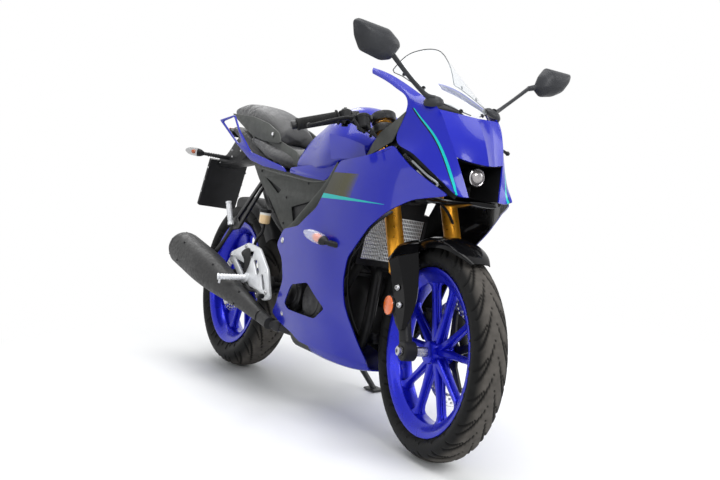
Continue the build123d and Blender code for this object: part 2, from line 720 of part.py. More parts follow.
inner_tail_shares = [
    (-2.7, [(0, 9.2), (0.4, 9.2), (0.45, 8.95), (0, 8.9)]),
    (-0.6, [(0, 8.95), (0.62, 8.9), (0.7, 8.35), (0, 8.3)]),
    (1.2, [(0, 8.2), (0.85, 8.15), (0.85, 7.75), (0, 7.75)]),
    (3.9, [(0, 7.5), (0.7, 7.5), (0.7, 7.2), (0, 7.2)]),
]
FILLER_RADIUS = 42
FILLER_RISE = 9
filler_share = (7.3, 0, 9.72)


def fuel_tank():
    body = hull(tank_shares)
    base = place(filler_share)
    return body + rod(base - UP * FILLER_RISE, base + UP * FILLER_RISE, FILLER_RADIUS)


def inner_tail():
    return hull(inner_tail_shares) - subframe()


# Tail blades
BLADE_THICKNESS = 7
BLADE_PLACE = 124
BLADE_SPLAY = 2
blade_shares = [
    (4.7, 7.45), (2.87, 7.55), (0.64, 8.2), (-1.85, 9.26), (-0.4, 9.45), (0.5, 8.95), (1.81, 8.2), (4.4, 7.7),
]
blade_gap_shares = [(-1.25, 9.12), (-0.4, 9.28), (0.15, 8.85), (0.45, 8.5)]


def tail_blades():
    blade = slab(blade_shares, BLADE_PLACE, BLADE_PLACE + BLADE_THICKNESS)
    blade = blade - slab(blade_gap_shares, BLADE_PLACE - OVERRUN, BLADE_PLACE + BLADE_THICKNESS + OVERRUN)
    front = place((blade_shares[0][0], 0, 0))
    blade = blade.rotate(Axis(Vector(front.X, BLADE_PLACE, 0), UP), BLADE_SPLAY)
    return separate([blade, mirrored(blade)])


# Side covers under the seat
COVER_PLACE = 112
COVER_WALL = 5
side_cover_shares = [
    (2.3, 7.5), (5.0, 7.38), (6.9, 7.35), (8.7, 7.9), (9.5, 7.75), (9.0, 6.85), (7.4, 5.9), (6.5, 5.5),
    (5.9, 5.4),
    (5.5, 5.9), (5.8, 6.5), (5.2, 6.8), (4.7, 6.3), (5.0, 5.3), (4.5, 5.2), (3.6, 6.6), (2.7, 7.2),
]
side_cover_hole_shares = [(3.9, 7.05), (4.6, 6.95), (4.3, 6.5)]


def side_cover():
    plate = slab(side_cover_shares, COVER_PLACE, COVER_PLACE + COVER_WALL)
    return plate - slab(side_cover_hole_shares, COVER_PLACE - OVERRUN, COVER_PLACE + COVER_WALL + OVERRUN)


# Side fairings. Half widths at stations across and levels down, and the panel's side outline.
fairing_stations_shares = [5.0, 6.5, 8.0, 9.2, 10.3, 11.3, 12.4, 13.3, 14.1, 14.8]
fairing_width_shares = [
    (8.8, [1.45, 1.5, 1.55, 1.6, 1.62, 1.62, 1.5, 1.2, 0.75, 0.4]),
    (7.9, [1.6, 1.72, 1.8, 1.86, 1.9, 1.86, 1.7, 1.38, 0.9, 0.5]),
    (7.1, [1.7, 1.84, 1.94, 2.0, 2.0, 1.95, 1.76, 1.42, 0.98, 0.6]),
    (6.1, [1.75, 1.9, 2.0, 2.0, 2.0, 1.95, 1.82, 1.5, 1.1, 0.7]),
    (5.0, [1.72, 1.85, 1.95, 1.98, 1.92, 1.86, 1.7, 1.5, 1.2, 0.9]),
    (3.8, [1.55, 1.68, 1.76, 1.76, 1.66, 1.5, 1.3, 1.1, 0.9, 0.7]),
    (2.9, [1.35, 1.5, 1.55, 1.45, 1.14, 0.9, 0.7, 0.5, 0.4, 0.3]),
    (1.95, [1.1, 1.2, 1.18, 0.9, 0.4, 0.3, 0.25, 0.2, 0.2, 0.2]),
]
fairing_outline_shares = [
    (9.87, 7.75), (9.2, 6.75), (7.48, 5.75), (6.5, 5.53), (6.17, 4.97), (6.8, 4.18), (6.5, 3.15),
    (6.35, 2.45),
    (8.6, 2.08), (10.32, 2.03), (10.41, 2.9), (10.46, 3.75), (10.55, 4.5), (10.74, 5.09), (11.13, 5.48),
    (11.65, 6.04),
    (12.46, 6.64), (13.1, 6.99), (13.83, 7.16), (14.0, 7.22), (12.5, 7.95), (11.3, 8.45), (10.6, 8.0),
]
fairing_window_shares = [(7.05, 3.3), (8.05, 4.05), (9.08, 4.13), (9.95, 3.5), (8.95, 3.05)]


def fairing_net():
    rows = []
    for level, widths in fairing_width_shares:
        rows.append([place((x, -width, level)) for x, width in zip(fairing_stations_shares, widths)])
    return rows


def side_fairing():
    """The right side panel: a bowed skin cut to its outline, with the window over the engine cover."""
    bowed = skin([fairing_net()], BODY_WALL)
    reach = BODY_HALF_WIDTH + OVERRUN
    return bowed & slab(fairing_outline_shares, -reach, 0) - slab(fairing_window_shares, -reach, 0)


# Upper cowl. Right half: the nose between ridge and shoulder, then the side down to the lamp's slot.
cowl_nose_shares = [
    [(13.29, 0, 9.42), (13.1, -0.5, 9.52), (12.94, -1.02, 9.52)],
    [(13.73, 0, 8.8), (13.6, -0.5, 8.83), (13.42, -0.93, 8.9)],
    [(14.1, 0, 8.2), (13.92, -0.42, 8.22), (13.76, -0.78, 8.28)],
]
cowl_side_shares = [
    [
        (9.35, -1.2, 10.8), (10.5, -1.18, 10.5), (11.7, -1.1, 10.05), (12.94, -1.02, 9.52),
        (13.42, -0.93, 8.9), (13.76, -0.78, 8.28), (14.2, -0.5, 7.25),
    ],
    [
        (9.4, -1.27, 10.72), (10.5, -1.32, 10.3), (11.75, -1.33, 9.7), (12.6, -1.28, 9.05),
        (13.2, -1.18, 8.5), (13.65, -1.02, 8.0), (14.15, -0.75, 7.25),
    ],
    [
        (9.45, -1.3, 10.6), (10.55, -1.4, 10.1), (11.75, -1.5, 9.15), (12.0, -1.56, 8.65),
        (12.8, -1.5, 8.2), (13.5, -1.25, 7.75), (14.15, -0.98, 7.35),
    ],
]


def upper_cowl():
    nets = []
    for table in (cowl_nose_shares, cowl_side_shares):
        right = [places(row) for row in table]
        nets.append([list(reversed(row)) for row in right] if table is cowl_nose_shares else right)
    nets = nets + [[[Vector(p.X, -p.Y, p.Z) for p in reversed(row)] for row in net] for net in nets]
    return skin(nets, BODY_WALL)


# Windscreen: rows from its top edge down to its front corner, right to left
SCREEN_WALL = 3
screen_shares = [
    [(10.35, 1.1, 10.7), (10.5, 0.7, 11.25), (10.78, 0, 11.5)],
    [(11.7, 0.98, 10.17), (11.75, 0.6, 10.55), (11.8, 0, 10.78)],
    [(12.72, 0.75, 9.72), (12.85, 0.4, 9.88), (12.9, 0, 9.98)],
    [(13.2, 0.12, 9.5), (13.24, 0.06, 9.5), (13.26, 0, 9.5)],
]


def windscreen():
    rows = []
    for row in screen_shares:
        right = [place((x, -y, z)) for x, y, z in row]
        left = [place((x, y, z)) for x, y, z in reversed(row) if y > 0]
        rows.append(right + left)
    return skin([rows], SCREEN_WALL)


# Nose duct with the projector lamp, position lamps, instrument panel
DUCT_WALL = 4
LENS_RADIUS = 26
LENS_LENGTH = 60
duct_mouth_shares = [(13.66, -0.7, 8.12), (14.1, -0.42, 7.2)]
duct_back_shares = [(12.6, -0.6, 8.2), (12.9, -0.45, 7.1)]
chin_shares = [
    (12.2, [(0, 7.25), (0.5, 7.2), (0.6, 7.0), (0, 7.0)]),
    (13.4, [(0, 7.2), (0.65, 7.15), (0.65, 7.0), (0, 6.95)]),
    (14.25, [(0, 7.18), (0.45, 7.15), (0.42, 7.08), (0, 7.05)]),
]
lens_share = (13.35, 0, 7.75)


def frame_ring(high_share, low_share, inset):
    high_x, high_y, high_z = place(high_share)
    low_x, low_y, low_z = place(low_share)
    high_y = abs(high_y) - inset
    low_y = abs(low_y) - inset
    high = [Vector(high_x, y, high_z - inset) for y in (-high_y, high_y)]
    return high + [Vector(low_x, y, low_z + inset) for y in (low_y, -low_y)]


def nose_duct():
    ends = (duct_back_shares, duct_mouth_shares)
    outer = facets([frame_ring(*shares, 0) for shares in ends])
    inner = facets([frame_ring(*shares, DUCT_WALL) for shares in ends])
    inner = inner.moved(Location((DUCT_WALL, 0, 0)))
    return (outer - inner) + hull(chin_shares)


def headlight():
    front = place(lens_share)
    back = front - Vector(LENS_LENGTH, 0, 0)
    barrel = rod(back, front, LENS_RADIUS)
    crown = front + Vector(LENS_RADIUS / 2, 0, 0)
    return largest((barrel + taper(front, crown, LENS_RADIUS, LENS_RADIUS / 2)) - nose_duct())


LAMP_THICKNESS = 10
lamp_shares = [(12.3, 8.22), (13.2, 7.68), (13.7, 7.42), (13.55, 7.38), (13.0, 7.55), (12.1, 8.1)]
LAMP_INNER = 112
LAMP_SPLAY = 21


def position_lamps():
    lamp = slab(lamp_shares, LAMP_INNER, LAMP_INNER + LAMP_THICKNESS)
    pivot = place((lamp_shares[1][0], 0, 0))
    lamp = lamp.rotate(Axis(Vector(pivot.X, LAMP_INNER, 0), UP), -LAMP_SPLAY)
    return separate([lamp, mirrored(lamp)])


PANEL_HALF_WIDTH = 75
panel_shares = [(11.3, 9.2), (11.15, 9.75), (11.45, 10.0), (11.95, 9.7), (11.95, 9.3)]


def instrument_panel():
    return slab(panel_shares, -PANEL_HALF_WIDTH, PANEL_HALF_WIDTH)


# Mirrors
MIRROR_ARM_RADIUS = 7
MIRROR_BASE_RADIUS = 16
MIRROR_HEAD_DEPTH = 34
mirror_base_share = (12.6, -1.0, 9.72)
mirror_arm_shares = [(12.6, -1.0, 9.72), (12.45, -1.55, 10.1), (12.35, -2.35, 10.75)]
mirror_front_shares = [
    (-2.25, 10.6), (-2.3, 10.95), (-2.75, 11.4), (-3.6, 11.45), (-3.76, 11.2), (-3.5, 10.75),
    (-2.7, 10.45),
]
mirror_head_share = 12.2
mirror_front_inset_share = 0.72


def mirror_side():
    arm = tube(places(mirror_arm_shares), MIRROR_ARM_RADIUS)
    base = place(mirror_base_share)
    foot = rod(base - UP * MIRROR_BASE_RADIUS, base, MIRROR_BASE_RADIUS)
    back_ring = [place((mirror_head_share, y, z)) for y, z in mirror_front_shares]
    centre = sum(back_ring, Vector(0, 0, 0)) / len(back_ring)
    depth = Vector(MIRROR_HEAD_DEPTH, 0, 0)
    front_ring = [centre + (point - centre) * mirror_front_inset_share + depth for point in back_ring]
    head = facets([back_ring, front_ring])
    return largest(together([arm, foot, head]) - upper_cowl())


# Indicators, tail lamp and plate holder
SIGNAL_STEM_RADIUS = 7
SIGNAL_RADIUS = 20
front_signal_shares = [(9.9, -1.93, 5.45), (9.4, -2.2, 5.5), (8.1, -2.3, 5.68)]
rear_signal_shares = [(-3.3, -0.95, 7.85), (-3.5, -1.5, 7.88), (-3.9, -2.1, 7.95)]


def signal(table_shares):
    root, neck, tip = places(table_shares)
    stem = rod(root, neck, SIGNAL_STEM_RADIUS)
    middle = (neck + tip) / 2
    swelling = taper(neck, middle, SIGNAL_STEM_RADIUS, SIGNAL_RADIUS)
    return together([stem, swelling, taper(middle, tip, SIGNAL_RADIUS, SIGNAL_STEM_RADIUS)])


def front_signals():
    right = largest(signal(front_signal_shares) - side_fairing())
    return separate([right, mirrored(right)])


def rear_signals():
    right = largest(signal(rear_signal_shares) - plate_holder())
    return separate([right, mirrored(right)])


HOLDER_HALF_WIDTH = 85
TAIL_LAMP_HALF_WIDTH = 45
holder_arm_shares = [
    (-0.8, 8.5), (-2.0, 8.75), (-3.0, 8.05), (-3.9, 7.75), (-4.0, 7.5), (-3.1, 7.6), (-1.0, 8.0),
]
holder_shares = [(-3.55, 7.75), (-3.75, 7.8), (-4.45, 5.85), (-4.25, 5.8)]
tail_lamp_shares = [(-2.7, 9.0), (-3.1, 9.15), (-3.15, 8.95), (-2.8, 8.8)]


def plate_holder():
    arm = slab(holder_arm_shares, -HOLDER_HALF_WIDTH / 2, HOLDER_HALF_WIDTH / 2)
    board = slab(holder_shares, -HOLDER_HALF_WIDTH, HOLDER_HALF_WIDTH)
    end = place(rear_signal_shares[0])
    bar = rod(end, Vector(end.X, -end.Y, end.Z), SIGNAL_STEM_RADIUS * 2)
    return largest(together([arm, board, bar]) - inner_tail() - subframe())


def tail_lamp():
    return slab(tail_lamp_shares, -TAIL_LAMP_HALF_WIDTH, TAIL_LAMP_HALF_WIDTH)


# Foot rests
REST_PLACE = 132
REST_WALL = 12
PEG_RADIUS = 11
rest_shares = [
    (2.7, 4.85), (3.1, 4.6), (3.3, 4.0), (4.3, 3.75), (4.75, 3.6), (4.9, 3.3), (3.9, 3.08), (3.3, 3.35),
    (2.75, 3.45), (2.6, 3.62),
    (2.85, 3.85), (2.5, 4.15), (1.6, 4.1), (1.5, 4.35), (2.35, 4.5),
]
peg_shares = [(3.1, -1.38, 3.6), (2.7, -2.4, 3.5)]
pedal_shares = [(3.9, -1.38, 3.3), (4.5, -1.55, 3.15), (5.1, -1.8, 3.2)]
PEDAL_RADIUS = 6
pillion_rest_shares = [(2.4, 7.2), (2.9, 7.2), (0.9, 5.2), (0.3, 5.1), (0.2, 5.5), (0.6, 5.7)]
pillion_peg_shares = [(0.5, -1.1, 5.35), (-0.2, -2.0, 5.3)]


def foot_rest():
    plate = slab(rest_shares, -REST_PLACE - REST_WALL, -REST_PLACE)
    peg = rod(*places(peg_shares), PEG_RADIUS)
    pedal = tube(places(pedal_shares), PEDAL_RADIUS)
    return together([plate, peg, pedal])


def pillion_rests():
    plate = slab(pillion_rest_shares, -COVER_PLACE, -COVER_PLACE + REST_WALL)
    peg = rod(*places(pillion_peg_shares), PEG_RADIUS)
    right = plate + peg
    return separate([right, mirrored(right)])


# Guards and panels
GUARD_WALL = 4
hugger_shares = [
    (-0.3, 6.4), (1.0, 6.35), (2.2, 5.9), (3.2, 5.1), (3.3, 5.15), (2.25, 5.98), (1.02, 6.45), (-0.3, 6.5),
]
HUGGER_HALF_WIDTH = 82
chain_guard_shares = [(0.2, 4.5), (1.2, 4.75), (3.0, 4.65), (3.0, 4.45), (1.2, 4.55), (0.3, 4.35)]
# belly pan rows: x, half width and height of its edges, half width and height of its floor
belly_shares = [
    (6.1, 1.04, 2.4, 0.7, 1.85), (8.4, 0.95, 2.2, 0.6, 1.75), (9.4, 0.68, 2.12, 0.35, 1.75),
    (10.1, 0.36, 2.1, 0.2, 1.85),
]
# inner panel rows: x, y, z of the front edge, then x and y of the edge turned in behind it
inner_edge_shares = [
    (10.4, 0.96, 2.9, 9.6, 0.6), (10.45, 1.46, 3.75, 9.65, 0.95), (10.5, 1.66, 4.5, 9.8, 1.25),
    (10.69, 1.76, 5.09, 10.1, 1.3),
    (11.08, 1.77, 5.48, 10.4, 1.4), (11.6, 1.79, 6.04, 10.9, 1.5), (12.4, 1.64, 6.6, 11.7, 1.5),
]


def belly_pan():
    rows = []
    for x, edge, edge_rise, floor, floor_rise in belly_shares:
        half = [(edge, edge_rise), (floor, floor_rise)]
        rows.append(places([(x, -y, z) for y, z in half] + [(x, y, z) for y, z in reversed(half)]))
    return skin([rows], GUARD_WALL)


def rear_hugger():
    return slab(hugger_shares, -HUGGER_HALF_WIDTH, HUGGER_HALF_WIDTH)


def chain_guard():
    return slab(chain_guard_shares, CHAIN_LINE - CHAIN_WIDTH / 2, CHAIN_LINE + CHAIN_WIDTH)


def inner_panels():
    front_row = [place((x, -y, z)) for x, y, z, _, _ in inner_edge_shares]
    back_row = [place((x, -y, z)) for _, _, z, x, y in inner_edge_shares]
    right = skin([[front_row, back_row]], GUARD_WALL)
    return separate([right, mirrored(right)])


# Front end
CLAMP_THICKNESS = 26
LEG_SIDE = 95
LEG_LEAD = 40
GOLD_RADIUS = 25
STANCHION_RADIUS = 20
LOWER_CLAMP_RISE = 482
UPPER_CLAMP_RISE = 668
GOLD_BOTTOM = 228
STANCHION_BOTTOM = 110
FOOT_RADIUS = 28
FOOT_NECK_RADIUS = 21
CLAMP_BOSS = 12
GRIP_RADIUS = 17
BAR_RADIUS = 11
BAR_END_RADIUS = 13
BAR_END_BOLT_RADIUS = 3
BAR_END_BOLT_DEPTH = 25
grip_inner_size = (4, 228, 712)
grip_outer_size = (-33, 343, 690)


def clamp_plate(rise):
    bottom = rise - CLAMP_THICKNESS / 2
    pieces = []
    boss = GOLD_RADIUS + CLAMP_BOSS
    back = -HEAD_TUBE_RADIUS / 2
    rounds = ((0, 0, HEAD_TUBE_RADIUS), (LEG_LEAD, LEG_SIDE, boss), (LEG_LEAD, -LEG_SIDE, boss))
    for lead, side, radius in rounds:
        pieces.append(rod(fork(lead, side, bottom), fork(lead, side, bottom + CLAMP_THICKNESS), radius))
    corners = [(back, -HEAD_TUBE_RADIUS), (back, HEAD_TUBE_RADIUS), (LEG_LEAD, LEG_SIDE)]
    corners = corners + [(LEG_LEAD + CLAMP_BOSS, 0), (LEG_LEAD, -LEG_SIDE)]
    wings = [fork(lead, side, bottom) for lead, side in corners]
    pieces.append(extrude(polygon(wings), amount=CLAMP_THICKNESS, dir=ALONG))
    return together(pieces)


def triple_clamps():
    low = clamp_plate(LOWER_CLAMP_RISE)
    high = clamp_plate(UPPER_CLAMP_RISE)
    stem = round_bar(fork(0, 0, LOWER_CLAMP_RISE), fork(0, 0, UPPER_CLAMP_RISE), STEM_RADIUS)
    whole = together([low, high, stem])
    for side in (-1, 1):
        bottom = fork(LEG_LEAD, side * LEG_SIDE, LOWER_CLAMP_RISE - CLAMP_THICKNESS)
        top = fork(LEG_LEAD, side * LEG_SIDE, UPPER_CLAMP_RISE + CLAMP_THICKNESS)
        whole = whole - rod(bottom, top, GOLD_RADIUS)
    return whole


def fork_uppers():
    legs = []
    for side in (-1, 1):
        bottom = fork(LEG_LEAD, side * LEG_SIDE, GOLD_BOTTOM)
        top = fork(LEG_LEAD, side * LEG_SIDE, UPPER_CLAMP_RISE + CLAMP_THICKNESS)
        legs.append(rod(bottom, top, GOLD_RADIUS))
    return separate(legs)


def fork_lowers():
    legs = []
    for side in (-1, 1):
        bottom = fork(LEG_LEAD, side * LEG_SIDE, STANCHION_BOTTOM)
        top = fork(LEG_LEAD, side * LEG_SIDE, GOLD_BOTTOM)
        legs.append(rod(bottom, top, STANCHION_RADIUS))
    return separate(legs)


def fork_feet():
    """Black feet that carry the axle, a little behind and below the tubes' ends."""
    feet = []
    for side in (-1, 1):
        top = fork(LEG_LEAD, side * LEG_SIDE, STANCHION_BOTTOM)
        low = fork(AXLE_LEAD, side * LEG_SIDE, 0)
        half = LEFT * FOOT_NECK_RADIUS
        feet.append(together([rod(low, top, FOOT_NECK_RADIUS), rod(low - half, low + half, FOOT_RADIUS)]))
    whole = separate(feet)
    reach = LEG_SIDE + 2 * FOOT_RADIUS
    return whole - rod(FRONT_AXLE - LEFT * reach, FRONT_AXLE + LEFT * reach, AXLE_RADIUS) - fork_lowers()


def front_axle():
    reach = LEG_SIDE + FOOT_RADIUS
    bar = rod(FRONT_AXLE - LEFT * reach, FRONT_AXLE + LEFT * reach, AXLE_RADIUS)
    spacers = []
    for side, start in ((-1, FRONT_HUB_HALF_WIDTH), (1, FRONT_HUB_HALF_WIDTH + DISC_GAP + DISC_THICKNESS)):
        inner = FRONT_AXLE + LEFT * side * (start + 3 * BEARING_GAP)
        outer = FRONT_AXLE + LEFT * side * (LEG_SIDE - FOOT_NECK_RADIUS)
        spacers.append(rod(inner, outer, AXLE_RADIUS * 3 / 2))
    return together([bar] + spacers)


def handlebars():
    pieces = []
    for side in (-1, 1):
        collar_low = fork(LEG_LEAD, side * LEG_SIDE, UPPER_CLAMP_RISE + CLAMP_THICKNESS)
        collar_high = collar_low + ALONG * CLAMP_THICKNESS
        inner = fork(grip_inner_size[0], side * grip_inner_size[1], grip_inner_size[2])
        outer = fork(grip_outer_size[0], side * grip_outer_size[1], grip_outer_size[2])
        middle = collar_low + ALONG * (CLAMP_THICKNESS / 2)
        bar = rod(middle, inner, BAR_RADIUS)
        grip = rod(inner, outer, GRIP_RADIUS)
        run = (outer - inner).normalized()
        tip = outer + run * GRIP_RADIUS
        end = rod(outer, tip, BAR_END_RADIUS)
        whole = together([rod(collar_low, collar_high, GOLD_RADIUS + CLAMP_BOSS), bar, grip, end])
        thread = round_bar(tip + run * OVERRUN, tip - run * BAR_END_BOLT_DEPTH, BAR_END_BOLT_RADIUS)
        pieces.append(whole - thread)
    return separate(pieces)


LEVER_RADIUS = 6
SWITCH_SIZE = 46
lever_pivot_size = (45, 200, 690)
lever_tip_size = (35, 335, 655)
RESERVOIR_RADIUS = 22
reservoir_size = (48, 168, 704)


def controls(side):
    """Switch block with its lever; the right one also carries the brake reservoir."""
    inner = fork(grip_inner_size[0], side * grip_inner_size[1], grip_inner_size[2])
    collar = fork(LEG_LEAD, side * LEG_SIDE, UPPER_CLAMP_RISE + CLAMP_THICKNESS * 3 / 2)
    inward = (collar - inner).normalized()
    block = rod(inner, inner + inward * SWITCH_SIZE, SWITCH_SIZE / 2)
    pivot = fork(lever_pivot_size[0], side * lever_pivot_size[1], lever_pivot_size[2])
    tip = fork(lever_tip_size[0], side * lever_tip_size[1], lever_tip_size[2])
    arm = rod(inner + inward * SWITCH_SIZE / 2, pivot, LEVER_RADIUS * 2)
    lever = taper(pivot, tip, LEVER_RADIUS * 3 / 2, LEVER_RADIUS)
    past = tip + (tip - pivot).normalized() * (LEVER_RADIUS * 2)
    ball = taper(tip, past, LEVER_RADIUS * 3 / 2, LEVER_RADIUS)
    pieces = [block, arm, lever, ball]
    if side < 0:
        cup = fork(reservoir_size[0], side * reservoir_size[1], reservoir_size[2])
        base = cup - ALONG * (2 * RESERVOIR_RADIUS)
        pieces.append(rod(base, cup, RESERVOIR_RADIUS))
        pieces.append(rod(base, pivot, LEVER_RADIUS))
    return together(pieces) - handlebars()


FENDER_GAP = 14
FENDER_WALL = 4
FENDER_HALF_WIDTH = 58
FENDER_FRONT_ANGLE = 38
FENDER_REAR_ANGLE = -50
FENDER_STEPS = 9


def front_fender():
    """A curved mudguard round the tyre's top with a stay down each fork leg."""
    inner = FRONT_TYRE_RADIUS + FENDER_GAP
    wide = FENDER_HALF_WIDTH + FENDER_WALL
    edge = inner - 3 * FENDER_GAP
    shoulder = inner - FENDER_GAP
    outer_half = [(FENDER_HALF_WIDTH / 2, inner + FENDER_WALL), (wide, shoulder), (wide, edge)]
    inner_half = [(FENDER_HALF_WIDTH, edge), (FENDER_HALF_WIDTH, shoulder), (FENDER_HALF_WIDTH / 2, inner)]
    half = outer_half + inner_half
    profile = half + [(-y, radius) for y, radius in reversed(half)]
    reach = FENDER_FRONT_ANGLE - FENDER_REAR_ANGLE
    arch = facets(turned(profile, FENDER_REAR_ANGLE, reach, FENDER_STEPS)).moved(Location(FRONT_AXLE))
    pieces = [arch]
    for side in (-1, 1):
        corners = [
            fork(LEG_LEAD - GOLD_RADIUS, side * wide, shoulder),
            fork(LEG_LEAD + GOLD_RADIUS, side * wide, shoulder),
            fork(LEG_LEAD + GOLD_RADIUS, side * wide, STANCHION_BOTTOM),
            fork(LEG_LEAD, side * wide, STANCHION_BOTTOM),
        ]
        pieces.append(extrude(polygon(corners), amount=FENDER_WALL, dir=LEFT * side))
    return together(pieces)


def at_rear_axle(shape):
    return shape.moved(Location(REAR_AXLE))


def at_front_axle(shape):
    return shape.moved(Location(FRONT_AXLE))


REAR_DISC_FACE = -(REAR_HUB_HALF_WIDTH + DISC_GAP + DISC_THICKNESS / 2)
FRONT_DISC_FACE = FRONT_HUB_HALF_WIDTH + DISC_GAP + DISC_THICKNESS / 2
REAR_CALIPER_TURN = 60
FRONT_CALIPER_TURN = -62


def rear_caliper():
    return at_rear_axle(caliper(REAR_DISC_RADIUS, -1, REAR_DISC_FACE, REAR_CALIPER_TURN))


def front_caliper():
    return at_front_axle(caliper(FRONT_DISC_RADIUS, 1, FRONT_DISC_FACE, FRONT_CALIPER_TURN))


# Every piece, with the body that carries it
chassis = {
    "main_frame": main_frame,
    "subframe": subframe,
    "swingarm": swingarm,
    "rear_axle": rear_axle,
    "rear_shock": rear_shock,
    "stand_bracket": stand_bracket,
    "engine": engine,
    "radiator": radiator,
    "exhaust_pipe": exhaust_pipe,
    "muffler": muffler,
    "fuel_tank": fuel_tank,
    "rider_seat": lambda: hull(seat_shares),
    "pillion_seat": lambda: hull(pillion_shares),
    "inner_tail": inner_tail,
    "tail_blades": tail_blades,
    "side_cover_right": lambda: mirrored(side_cover()),
    "side_cover_left": side_cover,
    "side_fairing_right": side_fairing,
    "side_fairing_left": lambda: mirrored(side_fairing()),
    "inner_panels": inner_panels,
    "belly_pan": belly_pan,
    "upper_cowl": upper_cowl,
    "windscreen": windscreen,
    "nose_duct": nose_duct,
    "headlight": headlight,
    "position_lamps": position_lamps,
    "instrument_panel": instrument_panel,
    "mirror_right": mirror_side,
    "mirror_left": lambda: mirrored(mirror_side()),
    "front_signals": front_signals,
    "rear_signals": rear_signals,
    "plate_holder": plate_holder,
    "tail_lamp": tail_lamp,
    "foot_rest_right": foot_rest,
    "foot_rest_left": lambda: mirrored(foot_rest()),
    "pillion_rests": pillion_rests,
    "rear_hugger": rear_hugger,
    "chain_guard": chain_guard,
    "chain": chain,
    "rear_caliper": rear_caliper,
}
side_stand_body = {"side_stand": side_stand}
rear_wheel = {
    "rear_rim": lambda: at_rear_axle(rim(REAR_RIM_HALF_WIDTH, REAR_HUB_HALF_WIDTH)),
    "rear_tyre": lambda: at_rear_axle(tyre(REAR_TYRE_RADIUS, REAR_TYRE_HALF_WIDTH, REAR_RIM_HALF_WIDTH)),
    "rear_disc": lambda: at_rear_axle(disc(REAR_DISC_RADIUS, -1, REAR_HUB_HALF_WIDTH)),
    "rear_sprocket": lambda: at_rear_axle(sprocket()),
}
steering = {
    "triple_clamps": triple_clamps,
    "fork_uppers": fork_uppers,
    "fork_lowers": fork_lowers,
    "fork_feet": fork_feet,
    "front_axle": front_axle,
    "handlebars": handlebars,
    "controls_right": lambda: controls(-1),
    "controls_left": lambda: controls(1),
    "front_fender": front_fender,
    "front_caliper": front_caliper,
}
front_wheel = {
    "front_rim": lambda: at_front_axle(rim(FRONT_RIM_HALF_WIDTH, FRONT_HUB_HALF_WIDTH)),
    "front_tyre": lambda: at_front_axle(tyre(FRONT_TYRE_RADIUS, FRONT_TYRE_HALF_WIDTH, FRONT_RIM_HALF_WIDTH)),
    "front_disc": lambda: at_front_axle(disc(FRONT_DISC_RADIUS, 1, FRONT_HUB_HALF_WIDTH)),
}
BODIES = {
    "chassis": chassis,
    "side_stand": side_stand_body,
    "rear_wheel": rear_wheel,
    "steering": steering,
    "front_wheel": front_wheel,
}
GROUND_LINE = Axis(Vector(0, 0, 0), Vector(1, 0, 0))


def parked(shape, steered):
    """Turns a piece with the front end where that carries it, and leans it over to the left."""
    if steered:
        shape = shape.rotate(STEER_AXIS, STEER_ANGLE)
    return shape.rotate(GROUND_LINE, -LEAN_ANGLE)


built = {}
for body, pieces in BODIES.items():
    for name, make in pieces.items():
        built[name] = parked(make(), body in ("steering", "front_wheel"))
whole_box = Compound(list(built.values())).bounding_box()
middle = (whole_box.min + whole_box.max) / 2
SHIFT = Vector(-middle.X, -middle.Y, -whole_box.min.Z)
os.makedirs("parts", exist_ok=True)
for name, shape in built.items():
    export_step(shape.moved(Location(SHIFT)), os.path.join("parts", name + ".step"))
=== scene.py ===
import json
import math

import bmesh
import bpy
import numpy as np
from mathutils import Matrix, Vector


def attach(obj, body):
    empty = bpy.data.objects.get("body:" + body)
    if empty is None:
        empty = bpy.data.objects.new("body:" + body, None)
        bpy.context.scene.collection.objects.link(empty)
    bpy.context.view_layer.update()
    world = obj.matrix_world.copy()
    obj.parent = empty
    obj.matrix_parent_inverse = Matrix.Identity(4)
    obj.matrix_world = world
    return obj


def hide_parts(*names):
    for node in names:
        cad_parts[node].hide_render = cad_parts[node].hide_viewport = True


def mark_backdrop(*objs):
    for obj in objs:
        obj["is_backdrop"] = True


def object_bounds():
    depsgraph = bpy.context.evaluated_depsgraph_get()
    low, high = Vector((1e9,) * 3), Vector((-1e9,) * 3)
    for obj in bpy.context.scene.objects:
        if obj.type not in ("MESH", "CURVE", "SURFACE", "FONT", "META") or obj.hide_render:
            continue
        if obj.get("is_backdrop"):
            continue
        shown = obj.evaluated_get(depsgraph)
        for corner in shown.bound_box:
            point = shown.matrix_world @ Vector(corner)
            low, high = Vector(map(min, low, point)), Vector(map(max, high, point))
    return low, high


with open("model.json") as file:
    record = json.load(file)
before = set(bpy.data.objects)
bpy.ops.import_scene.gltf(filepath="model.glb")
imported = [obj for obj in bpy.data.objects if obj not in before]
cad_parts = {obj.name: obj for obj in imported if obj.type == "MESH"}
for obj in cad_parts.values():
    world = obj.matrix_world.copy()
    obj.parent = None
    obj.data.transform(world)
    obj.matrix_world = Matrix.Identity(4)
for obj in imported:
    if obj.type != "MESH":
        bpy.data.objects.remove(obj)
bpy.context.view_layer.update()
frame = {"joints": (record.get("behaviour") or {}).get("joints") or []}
joints = {joint["name"]: joint for joint in frame["joints"]}

